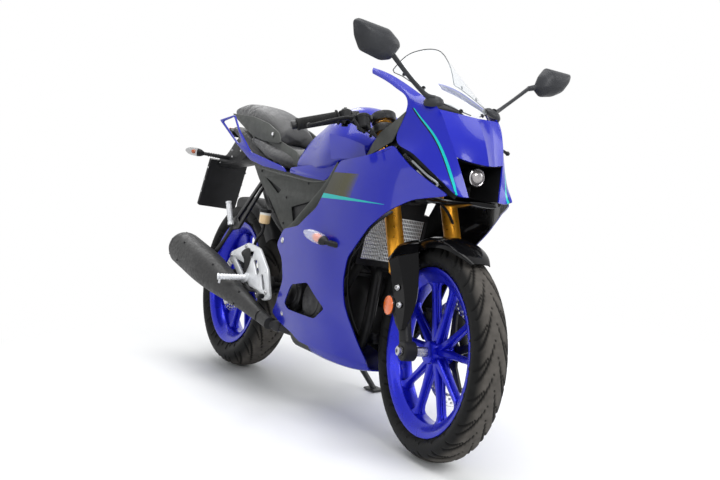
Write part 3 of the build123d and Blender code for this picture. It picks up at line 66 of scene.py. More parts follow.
# The machine is laid out upright and straight ahead, in metres: x = 0 at the rear axle, y = 0 on its
# centre plane, z = 0 on the ground. PARKED carries each body's pieces over to where the machine stands.
WHEELBASE = 1.325
TRAIL = 0.088
RAKE = math.radians(25.5)
LEAN = math.radians(-9.94)
STEER = math.radians(-5.5)
FRONT_RADIUS = 0.296
REAR_RADIUS = 0.314
ALONG = Vector((-math.sin(RAKE), 0, math.cos(RAKE)))
AHEAD = Vector((math.cos(RAKE), 0, math.sin(RAKE)))
LEFT = Vector((0, 1, 0))
UP = Vector((0, 0, 1))
SIDES = ((-1, "right"), (1, "left"))
SAME_POINT = 1e-5
FRONT_AXLE = Vector((WHEELBASE, 0, FRONT_RADIUS))
REAR_AXLE = Vector((0, 0, REAR_RADIUS))
STEER_FOOT = Vector((WHEELBASE + TRAIL, 0, 0))
leaned = Matrix.Rotation(LEAN, 4, "X")
shift = Vector(joints["rear_wheel_spin"]["pos_m"]) - leaned @ REAR_AXLE
stood = Matrix.Translation(shift) @ leaned
turned = Matrix.Translation(STEER_FOOT) @ Matrix.Rotation(STEER, 4, ALONG) @ Matrix.Translation(-STEER_FOOT)
PARKED = {
    "chassis": stood,
    "side_stand": stood,
    "rear_wheel": stood @ Matrix.Translation(REAR_AXLE),
    "steering": stood @ turned,
    "front_wheel": stood @ turned @ Matrix.Translation(FRONT_AXLE),
}
AXLE_RISE = (FRONT_AXLE - STEER_FOOT).dot(ALONG)


def fork(ahead, side, rise):
    """A point of the front end, in mm ahead of the steering axis, to the left and up from the axle."""
    return STEER_FOOT + ALONG * (AXLE_RISE + rise / 1000) + AHEAD * (ahead / 1000) + LEFT * (side / 1000)


def grid(x, y, z):
    """A point of the body grid, whose lines are 100 mm apart."""
    return Vector((x, y, z)) / 10


def sided(side, *points):
    """Points of the body grid, given for the left side."""
    return [grid(x, side * y, z) for x, y, z in points]


def circuit(count):
    """Evenly spaced turns once round, in radians."""
    return [2 * math.pi * i / count for i in range(count)]


def placed(name, data):
    """A new object in the scene."""
    thing = bpy.data.objects.new(name, data)
    bpy.context.scene.collection.objects.link(thing)
    return thing


def cleaned(mesh, merge=True, face_out=True):
    """Joins points that lie on each other and turns the faces outwards."""
    tidy = bmesh.new()
    tidy.from_mesh(mesh)
    if merge:
        bmesh.ops.remove_doubles(tidy, verts=tidy.verts, dist=SAME_POINT)
    if face_out:
        bmesh.ops.recalc_face_normals(tidy, faces=tidy.faces)
    tidy.to_mesh(mesh)
    tidy.free()


def aimed(eye, aim):
    """Where a camera or lamp stands that looks from one point to another."""
    return Matrix.Translation(eye) @ (aim - eye).to_track_quat("-Z", "Y").to_matrix().to_4x4()


class Value:
    """A number, colour or vector on its way through a finish's nodes."""

    def __init__(self, finish, socket):
        self.finish = finish
        self.socket = socket

    def maths(self, operation, first, second):
        return self.finish.add("ShaderNodeMath", {"operation": operation}, {0: first, 1: second})

    def __add__(self, other):
        return self.maths("ADD", self, other)

    def __sub__(self, other):
        return self.maths("SUBTRACT", self, other)

    def __mul__(self, other):
        return self.maths("MULTIPLY", self, other)

    def __truediv__(self, other):
        return self.maths("DIVIDE", self, other)

    def __pow__(self, other):
        return self.maths("POWER", self, other)

    def __gt__(self, other):
        return self.maths("GREATER_THAN", self, other)

    def __lt__(self, other):
        return self.maths("LESS_THAN", self, other)

    def __radd__(self, other):
        return self.maths("ADD", other, self)

    def __rsub__(self, other):
        return self.maths("SUBTRACT", other, self)

    def __rmul__(self, other):
        return self.maths("MULTIPLY", other, self)


class Nodes:
    """The nodes of a material or of the world."""

    def __init__(self, owner):
        owner.use_nodes = True
        self.nodes = owner.node_tree.nodes
        self.links = owner.node_tree.links
        self.nodes.clear()

    def add(self, kind, settings, inputs, output=0):
        node = self.nodes.new(kind)
        for key, value in settings.items():
            if key == "stops":
                while len(node.color_ramp.elements) > 1:
                    node.color_ramp.elements.remove(node.color_ramp.elements[0])
                for index, (place, colour) in enumerate(value):
                    stop = node.color_ramp.elements[0] if index == 0 else node.color_ramp.elements.new(place)
                    stop.position = place
                    stop.color = (*colour, 1)
            else:
                setattr(node, key, value)
        for key, value in inputs.items():
            if isinstance(value, Value):
                self.links.new(value.socket, node.inputs[key])
            else:
                node.inputs[key].default_value = value
        return Value(self, node.outputs[output])


class Finish(Nodes):
    """One material: a Principled shader, with the numbers that are the same all over it set at the start."""

    def __init__(self, name, colour, roughness, **sockets):
        self.name = name
        self.material = bpy.data.materials.new(name)
        super().__init__(self.material)
        self.shader = self.nodes.new("ShaderNodeBsdfPrincipled")
        output = self.nodes.new("ShaderNodeOutputMaterial")
        self.links.new(self.shader.outputs[0], output.inputs["Surface"])
        self.shader.inputs["Base Color"].default_value = (*colour, 1)
        self.shader.inputs["Roughness"].default_value = roughness
        for socket, value in sockets.items():
            self.shader.inputs[socket.replace("_", " ")].default_value = value

    def place(self):
        """Where a point is on its own piece, in metres, moving with the piece."""
        return self.add("ShaderNodeTexCoord", {}, {}, "Object")

    def axes(self, place):
        return [self.add("ShaderNodeSeparateXYZ", {}, {0: place}, axis) for axis in range(3)]

    def noise(self, place, scale, detail=3, roughness=0.5):
        inputs = {"Vector": place, "Scale": scale, "Detail": detail, "Roughness": roughness}
        return self.add("ShaderNodeTexNoise", {}, inputs, "Fac")

    def cells(self, place, scale):
        return self.add("ShaderNodeTexVoronoi", {}, {"Vector": place, "Scale": scale}, "Distance")

    def between(self, value, low, high, start=0, end=1):
        """Spreads a value from start at low to end at high, and no further."""
        settings = {"clamp": True}
        return self.add(
            "ShaderNodeMapRange", settings, {"Value": value, 1: low, 2: high, 3: start, 4: end}, "Result"
        )

    def blend(self, factor, first, second):
        colours = {0: factor, 6: first, 7: second}
        for key in (6, 7):
            if not isinstance(colours[key], Value):
                colours[key] = (*colours[key], 1)
        return self.add("ShaderNodeMix", {"data_type": "RGBA"}, colours, 2)

    def put(self, socket, value):
        self.links.new(value.socket, self.shader.inputs[socket])
        return self

    def relief(self, height, distance, strength=1):
        """Raises the surface by a height from 0 to 1 times a distance in metres."""
        inputs = {"Strength": strength, "Distance": distance, "Height": height}
        return self.put("Normal", self.add("ShaderNodeBump", {}, inputs, "Normal"))


def gloss_paint(name, colour, flake, roughness=0.22, metallic=0, coat=0.3):
    """Lacquered paint: a faint flake under the clear coat, and the coat's slight orange peel."""
    paint = Finish(name, colour, roughness, Metallic=metallic, Coat_Weight=coat, Coat_Roughness=0.03,
        Specular_IOR_Level=coat / 2)
    place = paint.place()
    sparkle = paint.between(paint.cells(place, 2200), 0.1, 0.6)
    paint.put("Base Color", paint.blend(sparkle, flake, colour))
    worn = paint.noise(place, 35, 4)
    paint.put("Roughness", paint.between(worn, 0.3, 0.8, roughness * 0.8, roughness * 1.3))
    return paint.relief(paint.noise(place, 420, 2), 0.00004)


def moulded_plastic(name, colour, roughness, grain=1400, depth=0.00008, lift=1.25):
    """Moulded plastic with a fine even grain and slightly uneven sheen."""
    plastic = Finish(name, colour, roughness, Specular_IOR_Level=0.17)
    place = plastic.place()
    cloud = plastic.noise(place, 22, 3)
    lighter = tuple(min(1, value * lift) for value in colour)
    plastic.put("Base Color", plastic.blend(plastic.between(cloud, 0.35, 0.7), colour, lighter))
    plastic.put("Roughness", plastic.between(plastic.noise(place, 60), 0.3, 0.7, roughness - 0.06, roughness + 0.08))
    return plastic.relief(plastic.cells(place, grain), depth)


def metal(name, colour, roughness, metallic=1, grain=260, depth=0.00003, dust=0.85):
    """Bare or plated metal, a little cloudy, with the fine unevenness of a casting or a machined face."""
    bare = Finish(name, colour, roughness, Metallic=metallic)
    place = bare.place()
    cloud = bare.noise(place, 30, 5)
    darker = tuple(value * dust for value in colour)
    bare.put("Base Color", bare.blend(bare.between(cloud, 0.35, 0.65), darker, colour))
    bare.put("Roughness", bare.between(bare.noise(place, 90, 4), 0.3, 0.7, roughness * 0.75, roughness * 1.3))
    return bare.relief(bare.noise(place, grain, 3), depth)


BLUE = (0.006, 0.01, 0.34)
BLUE_FLAKE = (0.015, 0.024, 0.5)
TURQUOISE = (0, 0.48, 0.46)
body_blue = gloss_paint("body_blue", BLUE, BLUE_FLAKE)
wheel_blue = gloss_paint("wheel_blue", (0.006, 0.01, 0.42), (0.02, 0.03, 0.75), 0.3, 0.6)
gloss_black = gloss_paint("gloss_black", (0.003, 0.003, 0.0035), (0.006, 0.006, 0.007), 0.15, 0, 0.14)
satin_black = moulded_plastic("satin_black", (0.012, 0.012, 0.013), 0.42)
horn_grey = moulded_plastic("horn_grey", (0.075, 0.078, 0.072), 0.5, 900, 0.00012)
cover_grey = moulded_plastic("cover_grey", (0.042, 0.044, 0.041), 0.5, 900, 0.00012)
frame_black = metal("frame_black", (0.013, 0.013, 0.014), 0.38, 0.3, 500, 0.00006)
engine_dark = metal("engine_dark", (0.022, 0.022, 0.024), 0.45, 0.5, 380, 0.0001)
muffler_black = metal("muffler_black", (0.022, 0.022, 0.022), 0.5, 0.2, 900, 0.00005)
steel = metal("steel", (0.55, 0.55, 0.56), 0.28)
chrome = metal("chrome", (0.8, 0.8, 0.82), 0.1, 1, 60, 0.00001, 0.95)
cast_silver = metal("cast_silver", (0.82, 0.83, 0.85), 0.35, 0.35, 700, 0.00006)
fork_gold = metal("fork_gold", (0.95, 0.42, 0.03), 0.34, 0.75, 200, 0.00001, 0.9)
spring_black = gloss_paint("spring_black", (0.01, 0.01, 0.01), (0.02, 0.02, 0.02), 0.25)
grip_rubber = moulded_plastic("grip_rubber", (0.012, 0.012, 0.012), 0.62, 500, 0.0003)
orange_lens = Finish("orange_lens", (0.9, 0.16, 0.01), 0.12, Coat_Weight=0.6)
orange_lens.relief(orange_lens.cells(orange_lens.place(), 260), 0.0006)
red_lens = Finish("red_lens", (0.5, 0.005, 0.01), 0.1, Coat_Weight=0.6)
red_lens.relief(red_lens.cells(red_lens.place(), 240), 0.0006)
fluid_amber = Finish("fluid_amber", (0.75, 0.55, 0.3), 0.25, Coat_Weight=0.4)
fluid_amber.put("Base Color", fluid_amber.blend(
    fluid_amber.between(fluid_amber.axes(fluid_amber.place())[2], 0.586, 0.59), (0.85, 0.6, 0.32),
    (0.85, 0.84, 0.78)))


def clear(name, tint, weight, roughness=0.02):
    """A clear moulding that lets what is behind it show, with its own gloss on top."""
    pane = Finish(name, tint, roughness, Alpha=weight, IOR=1.45, Coat_Weight=0.3)
    pane.put("Roughness", pane.between(pane.noise(pane.place(), 25), 0.3, 0.8, roughness, roughness + 0.03))
    pane.material.surface_render_method = "BLENDED"
    return pane


screen_clear = clear("screen_clear", (0.75, 0.8, 0.83), 0.16)
lens_clear = clear("lens_clear", (0.9, 0.92, 0.94), 0.3)
lamp_pane = clear("lamp_pane", (0.05, 0.05, 0.055), 0.35)
mirror_glass = Finish("mirror_glass", (0.85, 0.87, 0.9), 0.02, Metallic=1)
mirror_glass.put("Roughness", mirror_glass.between(mirror_glass.noise(mirror_glass.place(), 40), 0.3, 0.8, 0.01,
    0.05))

# Seat cover: a grained vinyl
seat_vinyl = Finish("seat_vinyl", (0.022, 0.022, 0.023), 0.5, Sheen_Weight=0.2, Sheen_Roughness=0.4)
vinyl_place = seat_vinyl.place()
grain = seat_vinyl.cells(vinyl_place, 620) + 0.5 * seat_vinyl.cells(vinyl_place, 1500)
seat_vinyl.put("Roughness", seat_vinyl.between(seat_vinyl.noise(vinyl_place, 40), 0.3, 0.7, 0.42, 0.56))
seat_vinyl.put("Base Color", seat_vinyl.blend(seat_vinyl.between(grain, 0.2, 0.9), (0.014, 0.014, 0.015),
    (0.03, 0.03, 0.031)))
seat_vinyl.relief(grain, 0.00022)

# Radiator: rows of fins between flat tubes, with the gaps between the fins painted near-black as painted shade
radiator_fins = Finish("radiator_fins", (0.5, 0.51, 0.53), 0.35, Metallic=0.9)
fin_y, fin_z = radiator_fins.axes(radiator_fins.place())[1:]
rows = radiator_fins.add("ShaderNodeMath", {"operation": "PINGPONG"}, {0: fin_z, 1: 0.0055}) / 0.0055
fins = radiator_fins.add("ShaderNodeMath", {"operation": "PINGPONG"}, {0: fin_y, 1: 0.003}) / 0.003
tubes = rows > 0.75
fin_gap_shade = radiator_fins.between(fins, 0.2, 0.8) * (1 - tubes) + tubes
# The dark between the fins is painted shade; the tubes and fin edges stay pale metal.
radiator_fins.put("Base Color", radiator_fins.blend(fin_gap_shade, (0.05, 0.05, 0.055), (0.85, 0.86, 0.88)))
radiator_fins.relief(fin_gap_shade, 0.0008)


def spread(points, steps, closed=False):
    """A smooth run through points, or through rows of points, with the given steps between neighbours."""
    points = np.asarray(points, float)
    count = len(points)
    if closed:
        points = np.concatenate([points[-1:], points, points[:2]])
    gaps = np.linalg.norm(np.diff(points, axis=0).reshape(len(points) - 1, -1, points.shape[-1]), axis=2).mean(1)
    gaps = np.maximum(gaps, 1e-5) ** 0.75
    slopes = [None] * len(points)
    secants = [(points[i + 1] - points[i]) / gaps[i] for i in range(len(points) - 1)]
    for i in range(1, len(points) - 1):
        slopes[i] = (secants[i - 1] * gaps[i] + secants[i] * gaps[i - 1]) / (gaps[i - 1] + gaps[i])
    if len(points) > 2:
        slopes[0] = 1.5 * secants[0] - 0.5 * slopes[1]
        slopes[-1] = 1.5 * secants[-1] - 0.5 * slopes[-2]
    else:
        slopes[0] = slopes[-1] = secants[0]
    result = []
    start, end = (1, count + 1) if closed else (0, count - 1)
    for i in range(start, end):
        for step in range(steps):
            t = step / steps
            blend = (2 * t**3 - 3 * t**2 + 1, t**3 - 2 * t**2 + t, 3 * t**2 - 2 * t**3, t**3 - t**2)
            lead = blend[1] * gaps[i] * slopes[i] + blend[3] * gaps[i] * slopes[i + 1]
            result.append(blend[0] * points[i] + blend[2] * points[i + 1] + lead)
    if not closed:
        result.append(points[count - 1])
    return np.array(result)


def sheet_of(rows, down, across):
    """A fine net of points through rows of points."""
    fine = spread(rows, down)
    return np.swapaxes(spread(np.swapaxes(fine, 0, 1), across), 0, 1)


def net_faces(rows, across, wrap_across=False, wrap_down=False):
    faces = []
    for i in range(rows if wrap_down else rows - 1):
        for j in range(across if wrap_across else across - 1):
            a, b = i * across + j, i * across + (j + 1) % across
            c, d = ((i + 1) % rows) * across + (j + 1) % across, ((i + 1) % rows) * across + j
            faces.append((a, d, c, b))
    return faces


class Stock:
    """Points and faces gathered for one piece."""

    def __init__(self):
        self.points = []
        self.faces = []

    def join(self, points, faces):
        start = len(self.points)
        self.points.extend(tuple(p) for p in points)
        self.faces.extend(tuple(start + i for i in face) for face in faces)
        return self

    def net(self, net, wrap_across=False, wrap_down=False):
        net = np.asarray(net, float)
        faces = net_faces(*net.shape[:2], wrap_across, wrap_down)
        return self.join(net.reshape(-1, 3), faces)

    def closed_net(self, rings):
        """A tube through rings of points, with both ends filled."""
        rings = np.asarray(rings, float)
        count = rings.shape[1]
        faces = net_faces(rings.shape[0], count, True)
        last = (rings.shape[0] - 1) * count
        faces.append(tuple(range(count)))
        faces.append(tuple(last + i for i in reversed(range(count))))
        return self.join(rings.reshape(-1, 3), faces)

    def lathed(self, profile, *settings):
        """A turned form whose profile is in mm."""
        return self.turned(np.array(profile) / 1000, *settings)

    def tube(self, inner, outer, start, end, *settings):
        """A plain turned tube, in mm."""
        return self.lathed([(inner, start), (outer, start), (outer, end), (inner, end)], *settings)

    def turned(self, profile, centre, axis, sides=32, closed=False):
        """A turned form: (radius, distance along the axis) pairs about a centre."""
        axis = Vector(axis).normalized()
        side = axis.orthogonal().normalized()
        up = axis.cross(side)
        rings = []
        for radius, distance in profile:
            ring = []
            for i in range(sides):
                turn = 2 * math.pi * i / sides
                out = side * math.cos(turn) + up * math.sin(turn)
                ring.append(Vector(centre) + axis * distance + out * max(radius, 1e-5))
            rings.append(ring)
        return self.net(rings, True, closed)

    def bar(self, points, radius, steps=6, sides=12, flat=1):
        """A round bar that bends smoothly through points. Radius, in mm, is one number or one for each point."""
        radii = [radius] * len(points) if isinstance(radius, (int, float)) else radius
        line = spread([[*p, r / 1000] for p, r in zip(points, radii)], steps)
        rings = []
        up = None
        for i, row in enumerate(line):
            before, after = line[max(i - 1, 0)][:3], line[min(i + 1, len(line) - 1)][:3]
            run = Vector(after - before).normalized()
            if up is None:
                up = run.orthogonal().normalized()
            up = (up - run * up.dot(run)).normalized()
            side = run.cross(up)
            ring = []
            for j in range(sides):
                turn = 2 * math.pi * j / sides
                out = up * math.cos(turn) * row[3] + side * math.sin(turn) * row[3] * flat
                ring.append(Vector(row[:3]) + out)
            rings.append(ring)
        return self.closed_net(rings)

    def block(self, centre, size, axes, bevel=0.15):
        """A block with cut corners, its size in mm along its own three axes."""
        x, y, z = (Vector(axis).normalized() for axis in axes)
        half = Vector(size) / 2000
        cut = min(half) * 2 * bevel
        rings = []
        for height, inset in ((-half.z, cut), (-half.z + cut, 0), (half.z - cut, 0), (half.z, cut)):
            ring = []
            for sx, sy, first in ((1, 1, 0), (-1, 1, 1), (-1, -1, 0), (1, -1, 1)):
                a = (half.x - inset - cut, half.y - inset)
                b = (half.x - inset, half.y - inset - cut)
                for px, py in ((b, a) if first == 0 else (a, b)):
                    ring.append(Vector(centre) + x * px * sx + y * py * sy + z * height)
            rings.append(ring)
        return self.closed_net(rings)


def mount(piece, body, replaces=()):
    """Puts a piece where its parked body is, and hides the parts that it stands for."""
    piece.matrix_world = PARKED[body]
    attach(piece, body)
    if replaces:
        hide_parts(replaces)
    return piece


# The slot that a finish usually has, where it isn't the finish's own name
USUAL_SLOTS = {"chain_steel": "steel", "chrome": "steel", "satin_black": "panel_black", "gloss_black": "panel_black",
    "spring_black": "shock_black", "radiator_fins": "radiator_core", "horn_grey": "cover_grey",
    "lens_glass": "lamp_clear", "dial_glass": "panel_black", "lens_clear": "lamp_clear", "red_lens": "lamp_red",
    "fluid_amber": "grip_rubber", "wheel_blue": "rim_blue", "disc_steel": "steel", "orange_lens": "lamp_clear",
    "seat_vinyl": "seat_cover", "strip_white": "lamp_clear", "lamp_pane": "lamp_clear", "mirror_glass": "mirror_grey"}


def settle(name, stock, finish, replaces=(), sharp=35, wall=0, smooth=0, slot=None, body="chassis"):
    """Makes the piece, puts it where its parked body is, and hides the parts that it stands for."""
    slot = slot or USUAL_SLOTS.get(finish.name, finish.name)
    mesh = bpy.data.meshes.new(name)
    mesh.from_pydata(stock.points, [], stock.faces)
    mesh.validate()
    cleaned(mesh, face_out=not wall)
    piece = placed(name, mesh)
    if wall:
        shell = piece.modifiers.new("wall", "SOLIDIFY")
        shell.thickness = abs(wall)
        shell.offset = -1 if wall > 0 else 1
        shell.use_even_offset = True
    if smooth:
        soft = piece.modifiers.new("smooth", "SUBSURF")
        soft.levels = soft.render_levels = smooth
    if wall or smooth:
        applied(piece)
    piece.data.shade_smooth()
    piece.data.set_sharp_from_angle(angle=math.radians(sharp))
    piece.data.materials.clear()
    piece.data.materials.append(finish.material)
    return mount(piece, body, replaces)


def steered(*settings, **more):
    """A piece that turns with the steering."""
    return settle(*settings, body="steering", **more)


def applied(piece):
    """Turns a piece's modifiers into its mesh."""
    bpy.context.view_layer.update()
    graph = bpy.context.evaluated_depsgraph_get()
    made = bpy.data.meshes.new_from_object(piece.evaluated_get(graph))
    piece.modifiers.clear()
    piece.data = made


def plate(stock, outline, inner, outer, holes=(), bevel=1.2, smooth=0, facing=None):
    """A flat plate with rounded edges in the side view, (x, z) in metres, between two distances y in mm."""
    inner, outer, bevel = inner / 1000, outer / 1000, bevel / 1000
    curve = bpy.data.curves.new("outline", "CURVE")
    curve.dimensions = "2D"
    curve.fill_mode = "BOTH"
    thickness = abs(outer - inner)
    curve.extrude = max(thickness / 2 - bevel, 0)
    curve.bevel_depth = bevel
    curve.bevel_resolution = 1
    curve.offset = -bevel
    for line in (outline, *holes):
        if smooth:
            line = spread([(*p, 0) for p in line], smooth, True)[:, :2]
        spline = curve.splines.new("POLY")
        spline.points.add(len(line) - 1)
        spline.use_cyclic_u = True
        for point, (x, z) in zip(spline.points, line):
            point.co = (x, z, 0, 1)
    shape = placed("outline", curve)
    applied_mesh = bpy.data.meshes.new_from_object(shape.evaluated_get(bpy.context.evaluated_depsgraph_get()))
    middle = (inner + outer) / 2
    if facing is None:
        points = [(v.co.x, middle + v.co.z, v.co.y) for v in applied_mesh.vertices]
    else:
        origin, across, up, out = facing
        points = [origin + across * v.co.x + up * v.co.y + out * (middle + v.co.z) for v in applied_mesh.vertices]
    stock.join(points, [tuple(face.vertices) for face in applied_mesh.polygons])
    bpy.data.objects.remove(shape)
    bpy.data.meshes.remove(applied_mesh)
    bpy.data.curves.remove(curve)
    return stock


def rounded(points, size, steps=3):
    """An outline with its corners rounded, each over the given length or half of its shorter side."""
    points = np.asarray(points, float)
    result = []
    for before, corner, after in zip(np.roll(points, 1, 0), points, np.roll(points, -1, 0)):
        ends = []
        for other in (before, after):
            length = np.linalg.norm(other - corner)
            ends.append(corner + (other - corner) * min(size / length, 0.45))
        for step in range(steps + 1):
            t = step / steps
            result.append((1 - t) ** 2 * ends[0] + 2 * t * (1 - t) * corner + t * t * ends[1])
    return np.array(result)


def metres(points):
    """Points of the body grid, in metres."""
    return [tuple(value / 10 for value in p) for p in points]


def both(points):
    """Rows for the left side too."""
    return [[Vector((p[0], -p[1], p[2])) for p in reversed(list(row))] for row in points]


def screw(stock, point, direction, radius, height=4, socket=True):
    """A round-headed screw with a six-sided socket, its radius and height in mm."""
    radius, height = radius / 1000, height / 1000
    if socket:
        profile = [(radius * 1.15, -0.001), (radius * 1.15, 0), (radius, 0.0005), (radius * 0.96, height * 0.7),
            (radius * 0.75, height), (radius * 0.5, height), (radius * 0.42, height * 0.3), (0, height * 0.3)]
    else:
        profile = [(radius, -0.001), (radius, height * 0.5), (radius * 0.7, height * 0.9), (0, height)]
    return stock.turned(profile, point, direction, 12)


def screw_row(stock, side, y, places, radius, height):
    for x, z in places:
        screw(stock, grid(x, side * y, z), LEFT * side, radius, height)


def cut(piece, cutter, operation):
    """Takes the cutter's shape out of a piece, or keeps only what is inside it."""
    tool = piece.modifiers.new("cut", "BOOLEAN")
    tool.object = cutter
    tool.operation = operation
    tool.solver = "EXACT"
    applied(piece)


def cutter_of(outline, inner, outer):
    stock = plate(Stock(), metres(outline), inner, outer, bevel=0)
    mesh = bpy.data.meshes.new("cutter")
    mesh.from_pydata(stock.points, [], stock.faces)
    cleaned(mesh)
    return placed("cutter", mesh)


# Wheels, each about its own axle
RIM_SEAT = 0.216
RIM_FLANGE = 0.232
SPOKE_PAIRS = 5
TREAD_STEPS = 720
TREAD_SHARES = [(0, 1), (0.42, 0.965), (0.76, 0.85), (0.95, 0.68), (1, 0.53), (0.93, 0.36)]
tyre_rubber = Finish("tyre_rubber", (0.03, 0.028, 0.026), 0.72, Specular_IOR_Level=0.1)
rubber_place = tyre_rubber.place()
# The grooves are painted near-black: painted shade inside them.
groove_shade = tyre_rubber.add("ShaderNodeAttribute", {"attribute_name": "groove_shade"}, {}, "Fac")
tread = tyre_rubber.add("ShaderNodeAttribute", {"attribute_name": "tread"}, {}, "Fac")
cloudy = tyre_rubber.noise(rubber_place, 45, 4)
# The crown of the tread is lighter than the near-black sidewalls: partly dust on the tread, partly painted light
# falling on it.
dusty_lit_rubber = tyre_rubber.blend(tyre_rubber.between(cloudy, 0.3, 0.7), (0.072, 0.066, 0.06), (0.105, 0.096, 0.086))
side_rubber = tyre_rubber.blend(tyre_rubber.between(cloudy, 0.3, 0.7), (0.006, 0.006, 0.006), (0.011, 0.011, 0.011))
face_rubber = tyre_rubber.blend(tread, side_rubber, dusty_lit_rubber)
tyre_rubber.put("Base Color", tyre_rubber.blend(groove_shade, face_rubber, (0.004, 0.004, 0.004)))
tyre_rubber.put("Roughness", tyre_rubber.between(tread, 0, 1, 0.5, 0.85))
tyre_rubber.relief(tyre_rubber.noise(rubber_place, 900, 3), 0.0002)


def tyre(name, radius, half_width, rim_half_width, pitches, lean_back):
    """A road tyre whose curved grooves are sunk into its tread and painted near-black as painted shade, with its
    crown lightened by dust and painted light.
    """
    height = radius - RIM_SEAT
    bead = rim_half_width - 0.007
    half = [(y * half_width, RIM_SEAT + rise * height) for y, rise in TREAD_SHARES]
    half += [(bead, RIM_FLANGE), (bead, RIM_SEAT)]
    profile = [(-y, r) for y, r in reversed(half[1:])] + half
    line = spread([(y, r) for y, r in profile], 5)
    around = TREAD_STEPS
    turns = np.arange(around) * 2 * math.pi / around
    y = np.repeat(line[None, :, 0], around, 0)
    r = np.repeat(line[None, :, 1], around, 0)
    turn = np.repeat(turns[:, None], len(line), 1)
    share = np.abs(y) / half_width
    pitch = 2 * math.pi / pitches
    sunk = np.zeros_like(y)
    sets = [(0.08, 0.9, 0, 1.35, 0.0036), (0.45, 0.97, 0.5, 0.5, 0.003)]
    for start, end, offset, sweep, wide in sets:
        along = np.clip((share - start) / (end - start), 0, 1)
        bow = offset + sweep * (1.25 * along - 0.25 * along**2.4) + np.where(y < 0, 0.5, 0)
        away = (turn / pitch * lean_back - bow + 0.5) % 1 - 0.5
        slope = np.abs(sweep) * pitch * radius / ((end - start) * half_width)
        distance = np.abs(away) * pitch * radius / np.sqrt(1 + slope**2)
        width = wide * np.sqrt(np.clip(np.sin(math.pi * np.clip(along, 0.02, 0.98)), 0, 1)) + 1e-5
        inside = (share > start) & (share < end)
        sunk = np.maximum(sunk, np.where(inside, np.clip(1.5 - distance / width, 0, 1), 0))
    normal_out = np.gradient(line, axis=0)
    normal = np.stack([normal_out[:, 1], -normal_out[:, 0]], 1)
    normal /= np.linalg.norm(normal, axis=1)[:, None]
    normal *= np.where((normal[:, 1] < 0) & (line[:, 1] > RIM_SEAT + 0.3 * height), -1, 1)[:, None]
    depth = 0.0035 * sunk
    y = y - normal[None, :, 0] * depth
    r = r - normal[None, :, 1] * depth
    points = np.stack([np.sin(turn) * r, y, np.cos(turn) * r], 2)
    stock = Stock().net(points, False, True)
    piece_mesh = bpy.data.meshes.new(name)
    piece_mesh.from_pydata(stock.points, [], stock.faces)
    # Marks for the shader: the grooves, darkened as painted shade, and the crown, lightened as dust and painted
    # light.
    crown_dust_and_light = np.clip((0.84 - share) / 0.3, 0, 1) * (line[None, :, 1] > RIM_SEAT + 0.5 * height)
    for label, values in (("groove_shade", sunk), ("tread", crown_dust_and_light)):
        marks = piece_mesh.attributes.new(label, "FLOAT", "POINT")
        marks.data.foreach_set("value", values.reshape(-1).astype(np.float32))
    cleaned(piece_mesh, merge=False)
    piece_mesh.shade_smooth()
    piece_mesh.materials.append(tyre_rubber.material)
    return placed(name, piece_mesh)


mount(tyre("front_tread", FRONT_RADIUS, 0.05, 0.04, 22, 1), "front_wheel", "front_tyre")
mount(tyre("rear_tread", REAR_RADIUS, 0.07, 0.058, 20, -1), "rear_wheel", "rear_tyre")


def rim(name, body, node, half_width, hub_half):
    well = RIM_SEAT - 0.016
    inside = half_width - 0.007
    third = half_width / 3
    barrel = [
        (well, -third), (well, third), (RIM_SEAT, inside - 0.008), (RIM_SEAT, inside), (RIM_FLANGE, inside + 0.001),
        (RIM_FLANGE + 0.0012, inside + 0.003), (RIM_FLANGE, half_width), (RIM_FLANGE - 0.006, half_width + 0.0005),
        (RIM_SEAT - 0.004, half_width - 0.006), (RIM_SEAT - 0.009, half_width - 0.012), (well - 0.006, third + 0.008),
        (well - 0.009, third), (well - 0.009, 0),
    ]
    full = barrel + [(r, -y) for r, y in reversed(barrel[:-1])]
    stock = Stock().turned(full, (0, 0, 0), LEFT, 120, True)
    hub = [
        (0.0094, -hub_half), (0.024, -hub_half), (0.031, -hub_half + 0.003), (0.033, -hub_half + 0.012),
        (0.029, -hub_half * 0.45), (0.03, 0), (0.029, hub_half * 0.45), (0.033, hub_half - 0.012),
        (0.031, hub_half - 0.003), (0.024, hub_half), (0.0094, hub_half),
    ]
    stock.turned(hub, (0, 0, 0), LEFT, 40, True)
    pitch = 2 * math.pi / SPOKE_PAIRS
    for number in range(SPOKE_PAIRS):
        for side in (-1, 1):
            root_turn = number * pitch + side * 0.09 * pitch
            tip_turn = number * pitch + side * 0.22 * pitch
            root = Vector((math.sin(root_turn), 0, math.cos(root_turn))) * 0.024
            tip = Vector((math.sin(tip_turn), 0, math.cos(tip_turn))) * (well - 0.006)
            run = (tip - root).normalized()
            across = run.cross(LEFT)
            rings = []
            for share, wide, deep in ((0, 0.013, 0.017), (0.12, 0.011, 0.0165), (0.5, 0.0085, 0.013),
                    (0.86, 0.008, 0.0125), (0.94, 0.0105, 0.0145), (1, 0.017, 0.02)):
                centre = root.lerp(tip, share)
                ring = []
                for u, v in ((1, 0.55), (0.55, 1), (-0.55, 1), (-1, 0.55), (-1, 0.2), (-0.62, 0), (-1, -0.2),
                        (-1, -0.55), (-0.55, -1), (0.55, -1), (1, -0.55), (1, -0.2), (0.62, 0), (1, 0.2)):
                    ring.append(centre + across * wide * u + LEFT * deep * v)
                rings.append(ring)
            stock.closed_net(rings)
        turn = number * pitch
        arc = [Vector((math.sin(turn + s), 0, math.cos(turn + s))) * 0.052 for s in (-0.16, 0, 0.16)]
        stock.bar(arc, 9, 3, 8, 0.7)
    return settle(name, stock, wheel_blue, node, 40, body=body)


rim("front_rim_cast", "front_wheel", "front_rim", 0.04, 0.038)
rim("rear_rim_cast", "rear_wheel", "rear_rim", 0.058, 0.05)


